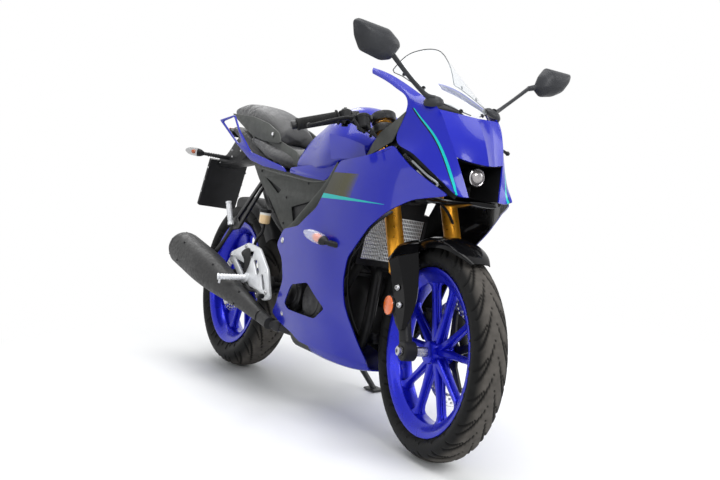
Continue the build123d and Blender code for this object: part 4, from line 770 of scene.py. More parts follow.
def circle(radius, count=48, centre=(0, 0)):
    return [(centre[0] + math.sin(turn) * radius, centre[1] + math.cos(turn) * radius) for turn in circuit(count)]


disc_steel = metal("disc_steel", (0.5, 0.5, 0.51), 0.3, 1, 700, 0.00002)


def disc(name, body, node, radius, side, hub_half):
    face = side * (hub_half + 0.004)
    out = face + side * 0.0045
    holes = []
    for ring, (count, share) in enumerate(((30, 0.25), (30, 0.55), (30, 0.85))):
        for i in range(count):
            turn = 2 * math.pi * (i + ring / 3) / count
            reach = radius - 0.034 * share - 0.0015
            holes.append(circle(0.0034, 8, (math.sin(turn) * reach, math.cos(turn) * reach)))
    stock = plate(Stock(), circle(radius, 96), face * 1000, out * 1000, [circle(radius - 0.034, 72), *holes], 0.5)
    settle(name + "_band", stock, disc_steel, node, 40, body=body)
    arms = []
    for i, turn in enumerate(circuit(5 * 8)):
        reach = (radius - 0.026) if i % 8 in (0, 1) else 0.05 if i % 8 in (2, 7) else 0.042
        arms.append((math.sin(turn - 0.08) * reach, math.cos(turn - 0.08) * reach))
    carrier = plate(Stock(), arms, (side * hub_half) * 1000, (out - side * 0.0008) * 1000, [circle(0.012, 24)], 1)
    for i, turn in enumerate(circuit(5)):
        screw(carrier, (math.sin(turn) * 0.028, out - side * 0.0015, math.cos(turn) * 0.028), LEFT * side, 5.5, 5)
    settle(name + "_carrier", carrier, frame_black, (), 40, body=body, slot="steel")


disc("front_disc", "front_wheel", "front_disc", 0.146, 1, 0.038)
disc("rear_disc", "rear_wheel", "rear_disc", 0.11, -1, 0.05)

CHAIN_LINE = 0.083
CHAIN_PITCH = 0.0127
TEETH = 48
teeth = []
for i in range(TEETH):
    for share, reach in ((0, 0.0865), (0.3, 0.0875), (0.42, 0.0915), (0.58, 0.0915), (0.7, 0.0875)):
        turn = 2 * math.pi * (i + share) / TEETH
        teeth.append((math.sin(turn) * reach, math.cos(turn) * reach))
windows = [circle(0.015, 20, (math.sin(turn) * 0.062, math.cos(turn) * 0.062)) for turn in circuit(5)]
stock = plate(Stock(), teeth, (CHAIN_LINE - 0.003) * 1000, (CHAIN_LINE + 0.003) * 1000, [circle(0.012, 24), *windows],
    0.6)
stock.tube(9.4, 32, 0, 26, (0, 0.05, 0), LEFT, 32, True)
settle("rear_sprocket_toothed", stock, steel, "rear_sprocket", 40, body="rear_wheel")

# Drive chain: its links lie on the loop round both sprockets
DRIVE_SPROCKET = grid(4.9, 0, 3.55)
span = DRIVE_SPROCKET - REAR_AXLE
slope = math.atan2(span.z, span.x)
radii = (0.092 + 0.009, 0.03 + 0.009)
lift = math.acos((radii[0] - radii[1]) / span.length)
route = []
for centre, radius, start, end in ((REAR_AXLE, radii[0], slope + lift, slope + 2 * math.pi - lift),
        (DRIVE_SPROCKET, radii[1], slope - lift, slope + lift)):
    count = max(6, int(abs(end - start) * radius / 0.002))
    for i in range(count + 1):
        turn = start + (end - start) * i / count
        route.append((centre.x + math.cos(turn) * radius, centre.z + math.sin(turn) * radius))
route.append(route[0])
route = np.array(route)
lengths = np.concatenate([[0], np.cumsum(np.linalg.norm(np.diff(route, axis=0), axis=1))])
links = 2 * int(lengths[-1] / CHAIN_PITCH / 2)
stock = Stock()
for i in range(links):
    ends = []
    for at in (i, i + 1):
        distance = (at % links) * lengths[-1] / links
        ends.append(Vector((np.interp(distance, lengths, route[:, 0]), 0, np.interp(distance, lengths, route[:, 1]))))
    run = (ends[1] - ends[0]).normalized()
    up = run.cross(LEFT)
    out = 0.0075 if i % 2 else 0.0058
    for side in (-1, 1):
        ring = []
        for u, v in ((-0.0035, 0.0045), (0, 0.0052), (0.4, 0.0036), (0.6, 0.0036), (1, 0.0052), (1.0035, 0.0045)):
            base = ends[0] if u <= 0.5 else ends[1]
            along = u if u < 0 else u - 1 if u > 1 else 0
            centre = ends[0].lerp(ends[1], u) if 0 < u < 1 else base
            ring.append(centre + run * along + up * v)
        low = [p - up * 2 * (p - ends[0]).dot(up) for p in reversed(ring)]
        face = [p + LEFT * (CHAIN_LINE + side * out) for p in ring + low]
        back = [p + LEFT * (CHAIN_LINE + side * (out - 0.0014)) for p in ring + low]
        stock.closed_net([face, back])
    stock.lathed([(3.8, -5.8), (3.8, 5.8)], ends[0] + LEFT * CHAIN_LINE, LEFT, 8)
    stock.lathed([(1.8, -8), (1.8, 8)], ends[0] + LEFT * CHAIN_LINE, LEFT, 6)
chain_steel = metal("chain_steel", (0.35, 0.33, 0.3), 0.35, 0.9, 500, 0.00008, 0.6)
settle("chain_links", stock, chain_steel, "chain", 40)

# Front end: fork, clamps, bars and controls, from points of the fork's own frame
LEG_SIDE, LEG_LEAD = 95, 40
gold, stanchions, feet, caps = Stock(), Stock(), Stock(), Stock()
for side in (-1, 1):
    low, high = fork(LEG_LEAD, side * LEG_SIDE, 228), fork(LEG_LEAD, side * LEG_SIDE, 694)
    length = (high - low).length
    gold.turned([(0.0205, 0.004), (0.0245, 0), (0.0265, 0.003), (0.0265, 0.016), (0.0252, 0.02), (0.0252, 0.026),
        (0.0246, 0.03), (0.0246, length - 0.004), (0.022, length), (0, length)], low, ALONG, 48)
    caps.lathed([(19, 0), (18.5, 7), (13, 8.5), (12.5, 12), (0, 12)], high, ALONG, 6)
    stanchions.lathed([(19.9, 0), (19.9, 125)], fork(LEG_LEAD, side * LEG_SIDE, 108), ALONG, 40)
    foot_top = fork(LEG_LEAD, side * LEG_SIDE, 112)
    knee = fork(LEG_LEAD + 6, side * LEG_SIDE, 60)
    lead = (FRONT_AXLE - fork(0, 0, 0)).dot(AHEAD) * 1000
    eye = fork(lead, side * LEG_SIDE, 0)
    feet.bar([foot_top, fork(LEG_LEAD, side * LEG_SIDE, 85), knee, fork(lead - 4, side * LEG_SIDE, 30), eye],
        [24.5, 22.5, 18, 18, 16], 5, 20)
    feet.lathed([(9.5, -19), (24, -19), (27, -16), (27, 16), (24, 19), (9.5, 19)], eye, LEFT, 32)
    feet.lathed([(20.5, 0), (26, 0), (26.5, 4), (26.5, 14), (21, 17)], fork(LEG_LEAD, side * LEG_SIDE, 104), ALONG,
        32)
    screw(feet, fork(lead - 26, side * (LEG_SIDE + 6), 12), LEFT * side, 5, 12)
steered("fork_tubes_gold", gold, fork_gold, "fork_uppers")
steered("fork_caps", caps, steel)
steered("fork_stanchions", stanchions, chrome, "fork_lowers")
steered("fork_feet_cast", feet, satin_black, "fork_feet", slot="fork_black")

axle = Stock()
axle.lathed([(0, -123), (8.5, -123), (8.8, -121), (8.8, 121), (8.5, 123), (0, 123)], FRONT_AXLE, LEFT, 24)
axle.lathed([(9, -116), (13.5, -116), (13.5, -126), (6, -128), (5, -120), (0, -120)], FRONT_AXLE, LEFT, 6)
axle.tube(9, 13.5, -38.9, -74, FRONT_AXLE, LEFT, 24)
axle.tube(9, 13.5, 47.4, 74, FRONT_AXLE, LEFT, 24)
steered("front_axle_turned", axle, steel, "front_axle")

clamps = Stock()
for rise, back, front in ((482, -26, 62), (668, -30, 50)):
    outline = []
    for x, z in ((0, back), (0.032, back + 4), (0.06, 2), (0.088, 6), (0.128, 22), (0.133, 42), (0.122, 66),
            (0.095, 76), (0.072, 66), (0.05, front), (0, front + 4)):
        outline.append((x, z / 1000))
    outline = outline + [(-x, z) for x, z in reversed(outline[1:-1])]
    holes = [circle(0.0247, 32, (side * 0.095, 0.04)) for side in (-1, 1)] + [circle(0.008, 24)]
    plate(clamps, outline, -13, 13, holes, 3, 3, (fork(0, 0, rise), LEFT, AHEAD, ALONG))
    for side in (-1, 1):
        for step in (-6, 6):
            screw(clamps, fork(12, side * 128, rise + step), (AHEAD * -0.8 + LEFT * side * 0.5), 4.5, 5)
clamps.tube(8, 16.8, 0, 186, fork(0, 0, 482), ALONG, 32, True)
clamps.lathed([(24, 0), (24, 10), (20, 13), (12, 14), (12, 9), (0, 9)], fork(0, 0, 680), ALONG, 6)
clamps.lathed([(18, 0), (18, 20), (14, 21), (12, 17), (0, 17)], fork(46, 0, 664), ALONG, 24)
steered("fork_clamps", clamps, frame_black, "triple_clamps")


def ribbed(length, start, count, first, spare, rib, end):
    """A turned profile with ribs along it. The start and each rib are given as they are, the end from the length."""
    places = [first + (length - spare) * number / count for number in range(count)]
    ribs = [(radius, at + rise) for at in places for radius, rise in rib]
    return start + ribs + [(radius, length + rise) for radius, rise in end]


def grip_points(side):
    inner = fork(4, side * 228, 712)
    outer = fork(-33, side * 343, 690)
    return inner, outer, (outer - inner).normalized()


bars, grips, bar_ends = Stock(), Stock(), Stock()
for side in (-1, 1):
    inner, outer, run = grip_points(side)
    collar = fork(LEG_LEAD, side * LEG_SIDE, 694)
    bars.lathed([(25.5, 0), (36, 0), (37, 2), (37, 24), (36, 26), (25.5, 26)], collar, ALONG, 40, True)
    mid = collar + ALONG * 0.013
    bars.bar([mid + (inner - mid).normalized() * 0.03, mid.lerp(inner, 0.6), inner], 11.2, 4, 20)
    bars.block(mid - AHEAD * 0.038, (20, 30, 24), (LEFT, AHEAD, ALONG))
    for step in (-7, 7):
        screw(bars, mid - AHEAD * 0.052 + ALONG * step / 1000, -AHEAD, 4, 4)
    length = (outer - inner).length
    step = (length - 0.016) / 26
    profile = ribbed(length, [(0.0112, -0.002), (0.0215, -0.001), (0.0225, 0.003), (0.018, 0.005)], 26, 0.007, 0.016,
        [(0.0172, 0), (0.0172, step * 0.55), (0.0162, step * 0.65), (0.0162, step * 0.92)],
        [(0.018, -0.006), (0.0185, 0), (0.012, 0.001)])
    grips.turned(profile, inner, run, 32)
    bar_ends.turned([(0.012, length), (0.0125, length + 0.001), (0.0125, length + 0.015), (0.01, length + 0.018),
        (0.004, length + 0.018), (0.003, length + 0.012), (0, length + 0.012)], inner, run, 24)
steered("clip_on_bars", bars, frame_black, "handlebars")
steered("rubber_grips", grips, grip_rubber)
steered("bar_ends", bar_ends, frame_black)

for side in (-1, 1):
    inner, outer, run = grip_points(side)
    collar = fork(LEG_LEAD, side * LEG_SIDE, 714)
    inward = (collar - inner).normalized()
    up = ALONG
    ahead = up.cross(inward).normalized() * (1 if up.cross(inward).dot(AHEAD) > 0 else -1)
    stock = Stock()
    case = inner + inward * 0.024
    stock.block(case + up * 0.002, (42, 46, 50), (inward, ahead, up), 0.3)
    stock.block(case + up * 0.02 - ahead * 0.014, (30, 20, 22), (inward, ahead, up), 0.25)
    stock.block(case - ahead * 0.024 + up * 0.004, (14, 8, 12), (inward, ahead, up), 0.3)
    stock.block(case - ahead * 0.024 - up * 0.014, (20, 7, 8), (inward, ahead, up), 0.3)
    perch = inner + inward * 0.052
    stock.lathed([(11.5, -11), (18, -11), (18.5, -9), (18.5, 9), (18, 11), (11.5, 11)], perch, inward, 24, True)
    pivot = fork(45, side * 200, 690)
    stock.bar([perch + ahead * 0.008, perch.lerp(pivot, 0.6), pivot], [11, 10, 10], 4, 12)
    stock.lathed([(0, -11), (7.5, -11), (8.5, -9), (8.5, 9), (7.5, 11), (0, 11)], pivot, up, 16)
    tip = fork(35, side * 335, 655)
    lever_line = [pivot, pivot + (tip - pivot) * 0.16 + ahead * 0.012, pivot + (tip - pivot) * 0.45 + ahead * 0.012,
        pivot + (tip - pivot) * 0.78 + ahead * 0.004, tip]
    lever = Stock().bar(lever_line, [8, 7.5, 6.5, 5.8, 5.2], 6, 12, 0.7)
    lever.lathed([(0, -7), (5, -6), (7.5, 0), (5, 6), (0, 7)], tip, tip - pivot, 16)
    steered("lever_" + ("right" if side < 0 else "left"), lever, satin_black, slot="grip_rubber")
    if side < 0:
        cup = fork(48, side * 168, 704)
        stock.lathed([(0, -44), (18, -44), (20.5, -41), (21.5, -12), (22.5, -11), (22.5, -3), (20, 0), (0, 0)], cup,
            up, 24)
        stock.bar([cup - up * 0.042, cup - up * 0.055 + ahead * 0.004, pivot + ahead * 0.004], 4.5, 5, 10)
        for turn in (0.4, 1.97, 3.54, 5.11):
            screw(stock, cup + (ahead * math.cos(turn) + inward * math.sin(turn)) * 0.016, up, 3, 1.5, False)
    name = "controls_right" if side < 0 else "controls_left"
    steered(name + "_switchgear", stock, satin_black, name, slot="grip_rubber")


def arch(outline_rows):
    """A crowned guard round the front axle, from (angle in degrees, half width, radius, drop at its edges)."""
    rows = []
    for angle, wide, radius, drop in outline_rows:
        turn = math.radians(angle)
        row = []
        for share, fall in ((-1, 1), (-0.93, 0.42), (-0.6, 0.1), (0, 0), (0.6, 0.1), (0.93, 0.42), (1, 1)):
            reach = radius - drop * fall
            row.append((FRONT_AXLE.x + math.sin(turn) * reach, share * wide, FRONT_AXLE.z + math.cos(turn) * reach))
        rows.append(row)
    return rows


guard_rows = [(-52, 0.056, 0.315, 0.035), (-38, 0.06, 0.3175, 0.045), (-18, 0.062, 0.3185, 0.046),
    (0, 0.061, 0.3185, 0.034), (14, 0.056, 0.3175, 0.022), (25, 0.045, 0.3155, 0.014), (33, 0.028, 0.313, 0.007)]
fender = Stock().net(sheet_of(arch(guard_rows), 6, 4))
steered("front_guard", fender, gloss_black, "front_fender", 50, 0.003)
for side, name in SIDES:
    levels_of_arm = [(262, (42, 122), (78, 113), (118, 70)), (200, (46, 122), (82, 109), (112, 72)),
        (118, (50, 121), (78, 107), (97, 83)), (56, (54, 119), (60, 114), (67, 106))]
    rows = [[fork(ahead, side * out, rise) for ahead, out in row] for rise, *row in levels_of_arm]
    stock = Stock()
    for half in ([row[:2] for row in rows], [row[1:] for row in rows]):
        stock.net(sheet_of(half, 5, 4))
    brace = Stock().net(sheet_of([
        [fork(16, side * 60, 302), fork(20, side * 96, 296), fork(42, side * 122, 262)],
        [fork(56, side * 60, 312), fork(62, side * 94, 302), fork(78, side * 113, 262)],
        [fork(104, side * 56, 302), fork(112, side * 62, 290), fork(118, side * 70, 262)]], 4, 4))
    steered("guard_shoulder_" + name, brace, gloss_black, (), 30, 0.003)
    steered("guard_arm_" + name, stock, gloss_black, (), 20, 0.004)
    bolts, reflector, holder = Stock(), Stock(), Stock()
    for rise in (174, 124):
        screw(bolts, fork(66, side * 117, rise), LEFT * side + AHEAD * 0.2, 7.5, 5)
    steered("guard_bolts_" + name, bolts, steel, (), 40)
    middle = fork(24, side * 124, 136)
    reflector.lathed([(0, 0), (26.2, 0), (27, 2), (26.2, 5), (24, 6), (0, 6.8)], middle, LEFT * side, 40)
    holder.lathed([(0, -3), (24, -3), (28.5, -2), (28.5, 3), (27.2, 3)], middle, LEFT * side, 40)
    holder.bar([middle - LEFT * side * 0.002, fork(40, side * 112, 136)], 7, 2, 10)
    steered("side_reflector_" + name, reflector, orange_lens, (), 40)
    steered("side_reflector_holder_" + name, holder, satin_black, (), 40, slot="fork_black")


def caliper(name, body, node, axle, radius, face, side, turn):
    """A two-piston caliper that straddles its disc."""
    turn = math.radians(turn)
    out = Vector((math.sin(turn), 0, math.cos(turn)))
    along = out.cross(LEFT)
    centre = Vector(axle) + out * (radius - 0.034 + 0.026) + LEFT * face
    stock = Stock()
    for half in (-1, 1):
        rings = []
        for y, size in ((0.006, 1), (0.022, 1), (0.029, 0.88), (0.031, 0.7)):
            ring = []
            for u, v in ((-0.05, -0.016), (-0.042, 0.014), (-0.026, 0.025), (0.026, 0.025), (0.042, 0.014),
                    (0.05, -0.016), (0.03, -0.025), (-0.03, -0.025)):
                ring.append(centre + along * u * size + out * v * size + LEFT * half * y)
            rings.append(ring)
        stock.closed_net(rings)
        for u in (-0.019, 0.019):
            stock.lathed([(0, 34), (12.5, 34), (14, 32), (14.5, 28)], centre + along * u, LEFT * half, 20)
    stock.block(centre + out * 0.019, (70, 14, 12), (along, LEFT, out), 0.2)
    for u in (-0.036, 0.036):
        stock.lathed([(6, -34), (6, 34), (0, 34)], centre + along * u + out * 0.012, LEFT, 12)
    screw(stock, centre + out * 0.018 + LEFT * side * 0.028, LEFT * side + out, 4, 10)
    return settle(name, stock, satin_black, node, 30, body=body, slot="fork_black")


caliper("front_caliper_cast", "steering", "front_caliper", FRONT_AXLE, 0.146, 0.0443, 1, -62)
caliper("rear_caliper_cast", "chassis", "rear_caliper", REAR_AXLE, 0.11, -0.0563, -1, 60)

hose = Stock()
hose.bar([fork(56, -172, 690), fork(70, -150, 640), fork(66, -70, 560), fork(64, 20, 480), fork(66, 80, 400),
    fork(14, 118, 300), fork(-8, 118, 220), fork(-40, 100, 150), fork(-52, 76, 132)], 4.2, 8, 10)
hose.bar([fork(50, 195, 684), fork(90, 170, 690), fork(96, 110, 640), fork(60, 50, 570), fork(20, 40, 520)], 3.5, 8,
    10)
hose.bar([fork(8, -186, 700), fork(30, -140, 660), fork(52, -60, 600), fork(20, -36, 540)], 3, 8, 8)
steered("brake_hose", hose, satin_black, (), 40, slot="grip_rubber")

# Rear end: swingarm, shock, side stand, frame, engine, exhaust
beam = metres([(-0.45, 2.95), (-0.5, 3.3), (0.3, 3.55), (3.2, 3.9), (4.2, 3.8), (4.5, 3.5), (4.35, 3.2), (3.4, 3.15),
    (0.3, 2.85)])
cross = metres([(3.35, 3.2), (3.4, 3.75), (3.8, 3.75), (3.8, 3.25)])
arm, bolts = Stock(), Stock()
for side in (-1, 1):
    slot_hole = circle(0.0085, 20, (0, 0.314))
    recess = [(0.06, 0.306), (0.06, 0.336), (0.32, 0.371), (0.4, 0.366), (0.425, 0.35), (0.41, 0.335), (0.33, 0.331)]
    plate(arm, beam, side * 95, side * 116.5, [slot_hole], 4, 3)
    ridge = [(x, side * 0.1155, z) for x, z in recess]
    ridge_top = [(x * 0.98 + 0.004, side * 0.1178, 0.34 + (z - 0.34) * 0.72) for x, z in recess]
    arm.closed_net([ridge, ridge_top])
    plate(arm, [(-0.062, 0.299), (-0.062, 0.329), (0.028, 0.331), (0.028, 0.297)], side * 114, side * 118.5,
        [circle(0.0095, 20, (0, 0.314))], 1)
    arm.lathed([(3, 0), (12, 0), (12.5, 1.5), (12, 3), (6, 3), (6, 1), (3, 1)], (0.075, side * 0.1155, 0.325),
        LEFT * side, 24)
    for x in (-0.048, -0.056):
        screw(bolts, (x, side * 0.106, 0.314), (-1, 0, 0), 5, 6)
    screw(bolts, (0.42, side * 0.118, 0.35), LEFT * side, 13, 7)
plate(arm, cross, -94, 94, (), 5, 3)
plate(arm, metres([(3.42, 3.7), (3.42, 4.4), (3.68, 4.4), (3.78, 3.7)]), -15, 15, (), 3)
settle("swingarm_welded", arm, frame_black, "swingarm", slot="swingarm_black")
settle("swingarm_bolts", bolts, steel)

axle = Stock()
axle.lathed([(0, -128), (8.5, -128), (9, -126), (9, 130), (7.5, 131), (0, 131)], REAR_AXLE, LEFT, 24)
for side in (-1, 1):
    axle.lathed([(9, 118.2), (19, 118.2), (19, 120.5), (14, 121), (14, 130), (9, 131)], REAR_AXLE, LEFT * side, 6)
axle.tube(9, 13.5, -94, -59.5, REAR_AXLE, LEFT, 24)
axle.tube(9, 13.5, 87, 94, REAR_AXLE, LEFT, 24)
settle("rear_axle_turned", axle, steel, "rear_axle")

low, top = grid(3.55, 0, 4.4), grid(4.75, 0, 6.15)
run = (top - low).normalized()
length = (top - low).length
shock, coil = Stock(), Stock()
shock.turned([(0, 0.014), (0.0085, 0.014), (0.0085, 0.05), (0.019, 0.052), (0.02, 0.055), (0.02, length - 0.055),
    (0.017, length - 0.05), (0.0085, length - 0.04), (0.0085, length - 0.012), (0, length - 0.012)], low, run, 32)
for distance, sign in ((0.03, 1), (length - 0.03, -1)):
    shock.turned([(0.009, 0), (0.028, 0), (0.03, 0.002 * sign), (0.03, 0.007 * sign), (0.026, 0.009 * sign),
        (0.009, 0.009 * sign)], low + run * distance, run, 32)
for point in (low, top):
    shock.tube(6, 13.5, -15, 15, point, LEFT, 24, True)
    shock.tube(0, 6, -33, 33, point, LEFT, 12)
side_way, up_way = run.orthogonal().normalized(), run.cross(run.orthogonal().normalized())
turns, count = 6.5, 130
wire = []
for i in range(count + 1):
    turn = 2 * math.pi * turns * i / count
    rise = 0.041 + (length - 0.082) * i / count
    wire.append(low + run * rise + (side_way * math.cos(turn) + up_way * math.sin(turn)) * 0.0248)
coil.bar(wire, 4.8, 1, 10)
settle("shock_body", shock, frame_black, "rear_shock", slot="shock_black")
settle("shock_coil", coil, spring_black)

pivot = grid(5, 1.28, 2.5)
foot = Vector((0.615, 0.255, 0.255 * math.tan(-LEAN)))
floor_up = Vector((0, math.sin(LEAN), math.cos(LEAN)))
leg_run = (foot - pivot).normalized()
hinge = leg_run.cross(Vector((-1, 0.1, 0.02)).normalized()).normalized()
stand = Stock()
ankle = foot + floor_up * 0.006
stand.bar([pivot + leg_run * 0.006, pivot.lerp(ankle, 0.3), pivot.lerp(ankle, 0.7), ankle], [10.8, 10.8, 10.2, 9.5],
    5, 20)
stand.lathed([(8.5, -11.5), (17.5, -11.5), (18, -10), (18, 10), (17.5, 11.5), (8.5, 11.5)], pivot, hinge, 32, True)
sole_x = Vector((1, 0, 0))
sole_y = floor_up.cross(sole_x)
stand.block(foot + floor_up * 0.004, (70, 44, 7.8), (sole_x, sole_y, floor_up), 0.3)
for turn in range(5):
    stand.block(foot + floor_up * 0.0075 + sole_x * (turn - 2) * 0.012, (4, 30, 2), (sole_x, sole_y, floor_up), 0.3)
stand.bar([pivot.lerp(ankle, 0.42), pivot.lerp(ankle, 0.42) + LEFT * 0.022 + floor_up * 0.004], [5, 4.5], 3, 10)
settle("side_stand_leg", stand, frame_black, "side_stand", body="side_stand")

bracket = Stock()
root = grid(4.6, 0.8, 2.9)
bracket.bar([root, root.lerp(pivot, 0.5), pivot - hinge * 0.006], [19, 16, 14], 5, 14, 0.7)
bracket.lathed([(0, -19), (8.5, -19), (8.5, 15), (13.5, 15), (13.5, 21), (6, 22), (0, 22)], pivot, hinge, 6)
bracket.tube(9, 17.5, -20.5, -12.5, pivot, hinge, 24, True)
settle("stand_bracket_cast", bracket, frame_black, "stand_bracket")
spring = Stock()
hook_a, hook_b = pivot + hinge * -0.015 + Vector((0.03, -0.01, 0.035)), pivot.lerp(ankle, 0.33) + LEFT * -0.012
spring_run = (hook_b - hook_a).normalized()
s_side = spring_run.orthogonal().normalized()
s_up = spring_run.cross(s_side)
wire = [hook_a]
for i in range(0, 161):
    turn = 2 * math.pi * i / 10
    middle = hook_a.lerp(hook_b, 0.12 + 0.76 * i / 160)
    wire.append(middle + (s_side * math.cos(turn) + s_up * math.sin(turn)) * 0.0062)
wire.append(hook_b)
spring.bar(wire, 1.3, 1, 8)
settle("stand_spring", spring, steel, body="side_stand")

spar = metres([(9.7, 8.15), (9.9, 7), (7.4, 6.3), (6.1, 5.2), (5.2, 4.3), (5, 3.3), (4.4, 2.7), (3.9, 3), (3.95, 4.4),
    (4.5, 6), (5.2, 6.8), (7.2, 7.15), (9, 7.7)])
main, bolts = Stock(), Stock()
for side in (-1, 1):
    window = metres([(8.6, 7.35), (8.8, 7), (7.9, 6.75), (7.6, 6.95)])
    plate(main, spar, side * 35, side * 59.5, [window], 4, 3)
    for x, z in ((0.46, 0.32), (0.5, 0.6), (0.72, 0.675), (0.94, 0.72)):
        screw(bolts, (x, side * 0.0595, z), LEFT * side, 9, 5)
low, high = fork(0, 0, 512), fork(0, 0, 640)
main.lathed([(19.5, 0), (28.5, 0), (29.5, 3), (29.5, 18), (27.5, 22), (27.5, 106), (29.5, 110), (29.5, 125),
    (28.5, 128), (19.5, 128)], low, ALONG, 40, True)
for rise, (x, z) in ((610, (0.95, 0.785)), (542, (0.96, 0.725))):
    neck = fork(-15, 0, rise)
    for side in (-1, 1):
        main.bar([neck, neck.lerp(Vector((x, side * 0.047, z)), 0.5), Vector((x, side * 0.047, z))], [14.5, 14.5, 13],
            3, 14)
swing = grid(4.2, 0, 3.5)
main.tube(0, 14.5, -93.5, 93.5, swing, LEFT, 24)
settle("frame_spars", main, frame_black, "main_frame")
settle("frame_bolts", bolts, steel)

rails = Stock()
for side in (-1, 1):
    rails.bar(sided(side, (5.3, -0.6, 6.7), (3.2, -0.66, 7.1), (0.6, -0.55, 8), (-2, -0.3, 8.72)), 11.5, 6, 16)
    rails.bar(sided(side, (4.4, -0.6, 5.2), (2.9, -0.7, 5.95), (0.55, -0.56, 7.96)), 11.5, 6, 16)
rails.bar([grid(3.2, -0.66, 7.1), grid(3.2, 0.66, 7.1)], 7.8, 4, 12)
rails.bar([grid(0.6, -0.55, 8), grid(0.6, 0.55, 8)], 7.8, 4, 12)
settle("seat_rails", rails, frame_black, "subframe")

engine_outline = metres([(5.5, 2.4), (5.5, 4.1), (6.3, 4.95), (7.3, 5.1), (7.9, 6.1), (9, 5.7), (8.7, 4.5), (8.95, 4),
    (9.05, 2.8), (8.6, 2.4)])
case = Stock()
plate(case, engine_outline, -104.5, 104.5, (), 8)
for number in range(7):
    case.block((0.832 - 0.002 * number, 0, 0.578 - 0.0165 * number), (118, 213.5, 4),
        (Vector((0.94, 0, -0.34)), LEFT, Vector((0.34, 0, 0.94))), 0.2)
for side in (-1, 1):
    for (x, z), size in (((0.79, 0.35), 0.067), ((0.635, 0.36), 0.066)):
        case.turned([(size, 0), (size, 0.022), (size - 0.004, 0.0265), (size * 0.72, 0.0275), (size * 0.68, 0.0295),
            (size * 0.3, 0.03), (size * 0.26, 0.0315), (0, 0.0315)], (x, side * 0.1045, z), LEFT * side, 48)
        for number in range(7):
            turn = 2 * math.pi * number / 7 + 0.3
            screw(case, (x + math.cos(turn) * (size - 0.009), side * 0.1295, z + math.sin(turn) * (size - 0.009)),
                LEFT * side, 4.2, 4)
    case.block((0.71, side * 0.108, 0.292), (260, 14, 20), ((1, 0, 0), LEFT, (0, 0, 1)), 0.3)
settle("engine_cases", case, engine_dark, "engine", 30)
hose = Stock()
hose.bar([grid(9.72, -0.85, 4.95), grid(9.5, -0.95, 4.5), grid(9.15, -0.9, 4.1), grid(8.85, -0.8, 3.9)], 14.5, 6, 16)
hose.bar([grid(9.9, 0.85, 6.55), grid(9.5, 0.9, 6.75), grid(9, 0.8, 6.2), grid(8.7, 0.7, 5.7)], 13.5, 6, 16)
hose.bar([grid(9.6, 0.4, 4.9), grid(9.35, 0.5, 4.3), grid(9, 0.55, 3.7)], 11, 6, 16)
settle("coolant_hoses", hose, grip_rubber, (), 40)

core, tanks = Stock(), Stock()
plate(core, metres([(9.6, 5.1), (9.87, 5.05), (10.1, 6.5), (9.83, 6.55)]), -96, 96, (), 1)
plate(tanks, metres([(9.56, 4.96), (9.85, 4.91), (9.885, 5.1), (9.59, 5.15)]), -109, 109, (), 3)
plate(tanks, metres([(9.81, 6.5), (10.12, 6.45), (10.15, 6.64), (9.85, 6.69)]), -109, 109, (), 3)
for side in (-1, 1):
    plate(tanks, metres([(9.56, 4.96), (9.85, 4.91), (10.15, 6.64), (9.85, 6.69)]), side * 96, side * 109, (), 3)
for turn in range(12):
    angle = math.pi * turn / 6
    tanks.bar([(0.955, 0, 0.585), (0.957, 0.075 * math.cos(angle), 0.585 + 0.075 * math.sin(angle))], 2.2, 2, 8)
tanks.tube(78, 82, -4, 4, (0.956, 0, 0.585), (1, 0, -0.14), 40, True)
tanks.lathed([(0, -20), (26, -20), (28, -16), (28, 4), (0, 4)], (0.955, 0, 0.585), (1, 0, -0.14), 32)
settle("radiator_core", core, radiator_fins, "radiator")
settle("radiator_tanks", tanks, satin_black, slot="radiator_core")

pipe = Stock()
pipe.bar([grid(*p) for p in ((8.9, 0, 5), (9.36, 0, 4.72), (9.42, -0.03, 4.2), (9.41, -0.14, 2.8), (9.2, -0.2, 2.28),
    (8.6, -0.25, 2.12), (6.9, -0.25, 2.12), (6.2, -0.34, 2.14), (5.75, -0.85, 2.25), (5.25, -1.42, 2.37))], 17.8, 7,
    24)
pipe.lathed([(17.8, 0), (28, 0), (29, 3), (29, 9), (17.8, 10)], grid(8.92, 0, 4.98),
    (grid(9.36, 0, 4.72) - grid(8.9, 0, 5)), 24, True)
pipe.lathed([(17.8, 0), (22, 0), (22.5, 2), (22.5, 18), (22, 20), (17.8, 20)], grid(5.55, -1.08, 2.31),
    Vector((-0.5, -0.57, 0.12)), 24, True)
settle("exhaust_header", pipe, engine_dark, "exhaust_pipe", 40, slot="muffler_black")

rings = []
line = spread(metres([(5.45, -1.46, 2.36, 0.33), (4.7, -1.52, 2.52, 0.36), (3.8, -1.58, 2.74, 0.46),
    (2.75, -1.68, 3, 0.62), (1.6, -1.79, 3.3, 0.86), (0.55, -1.88, 3.56, 1), (-0.8, -1.92, 3.82, 1.03),
    (-2, -1.95, 4.05, 1.03)]), 5)


def can_ways(i):
    """Which way the silencer runs at a step of its middle line, and which way is up on it."""
    before, after = line[max(i - 1, 0)][:3], line[min(i + 1, len(line) - 1)][:3]
    run = Vector(after - before).normalized()
    return run, (UP - run * run.z).normalized()


def can_reach(turn, share):
    """How far the silencer's squarish section reaches at a turn round it."""
    square = (abs(math.cos(turn)) ** 3 + abs(math.sin(turn)) ** 3) ** (-1 / 3)
    return 0.62 * share * (0.6 + 0.4 * square)


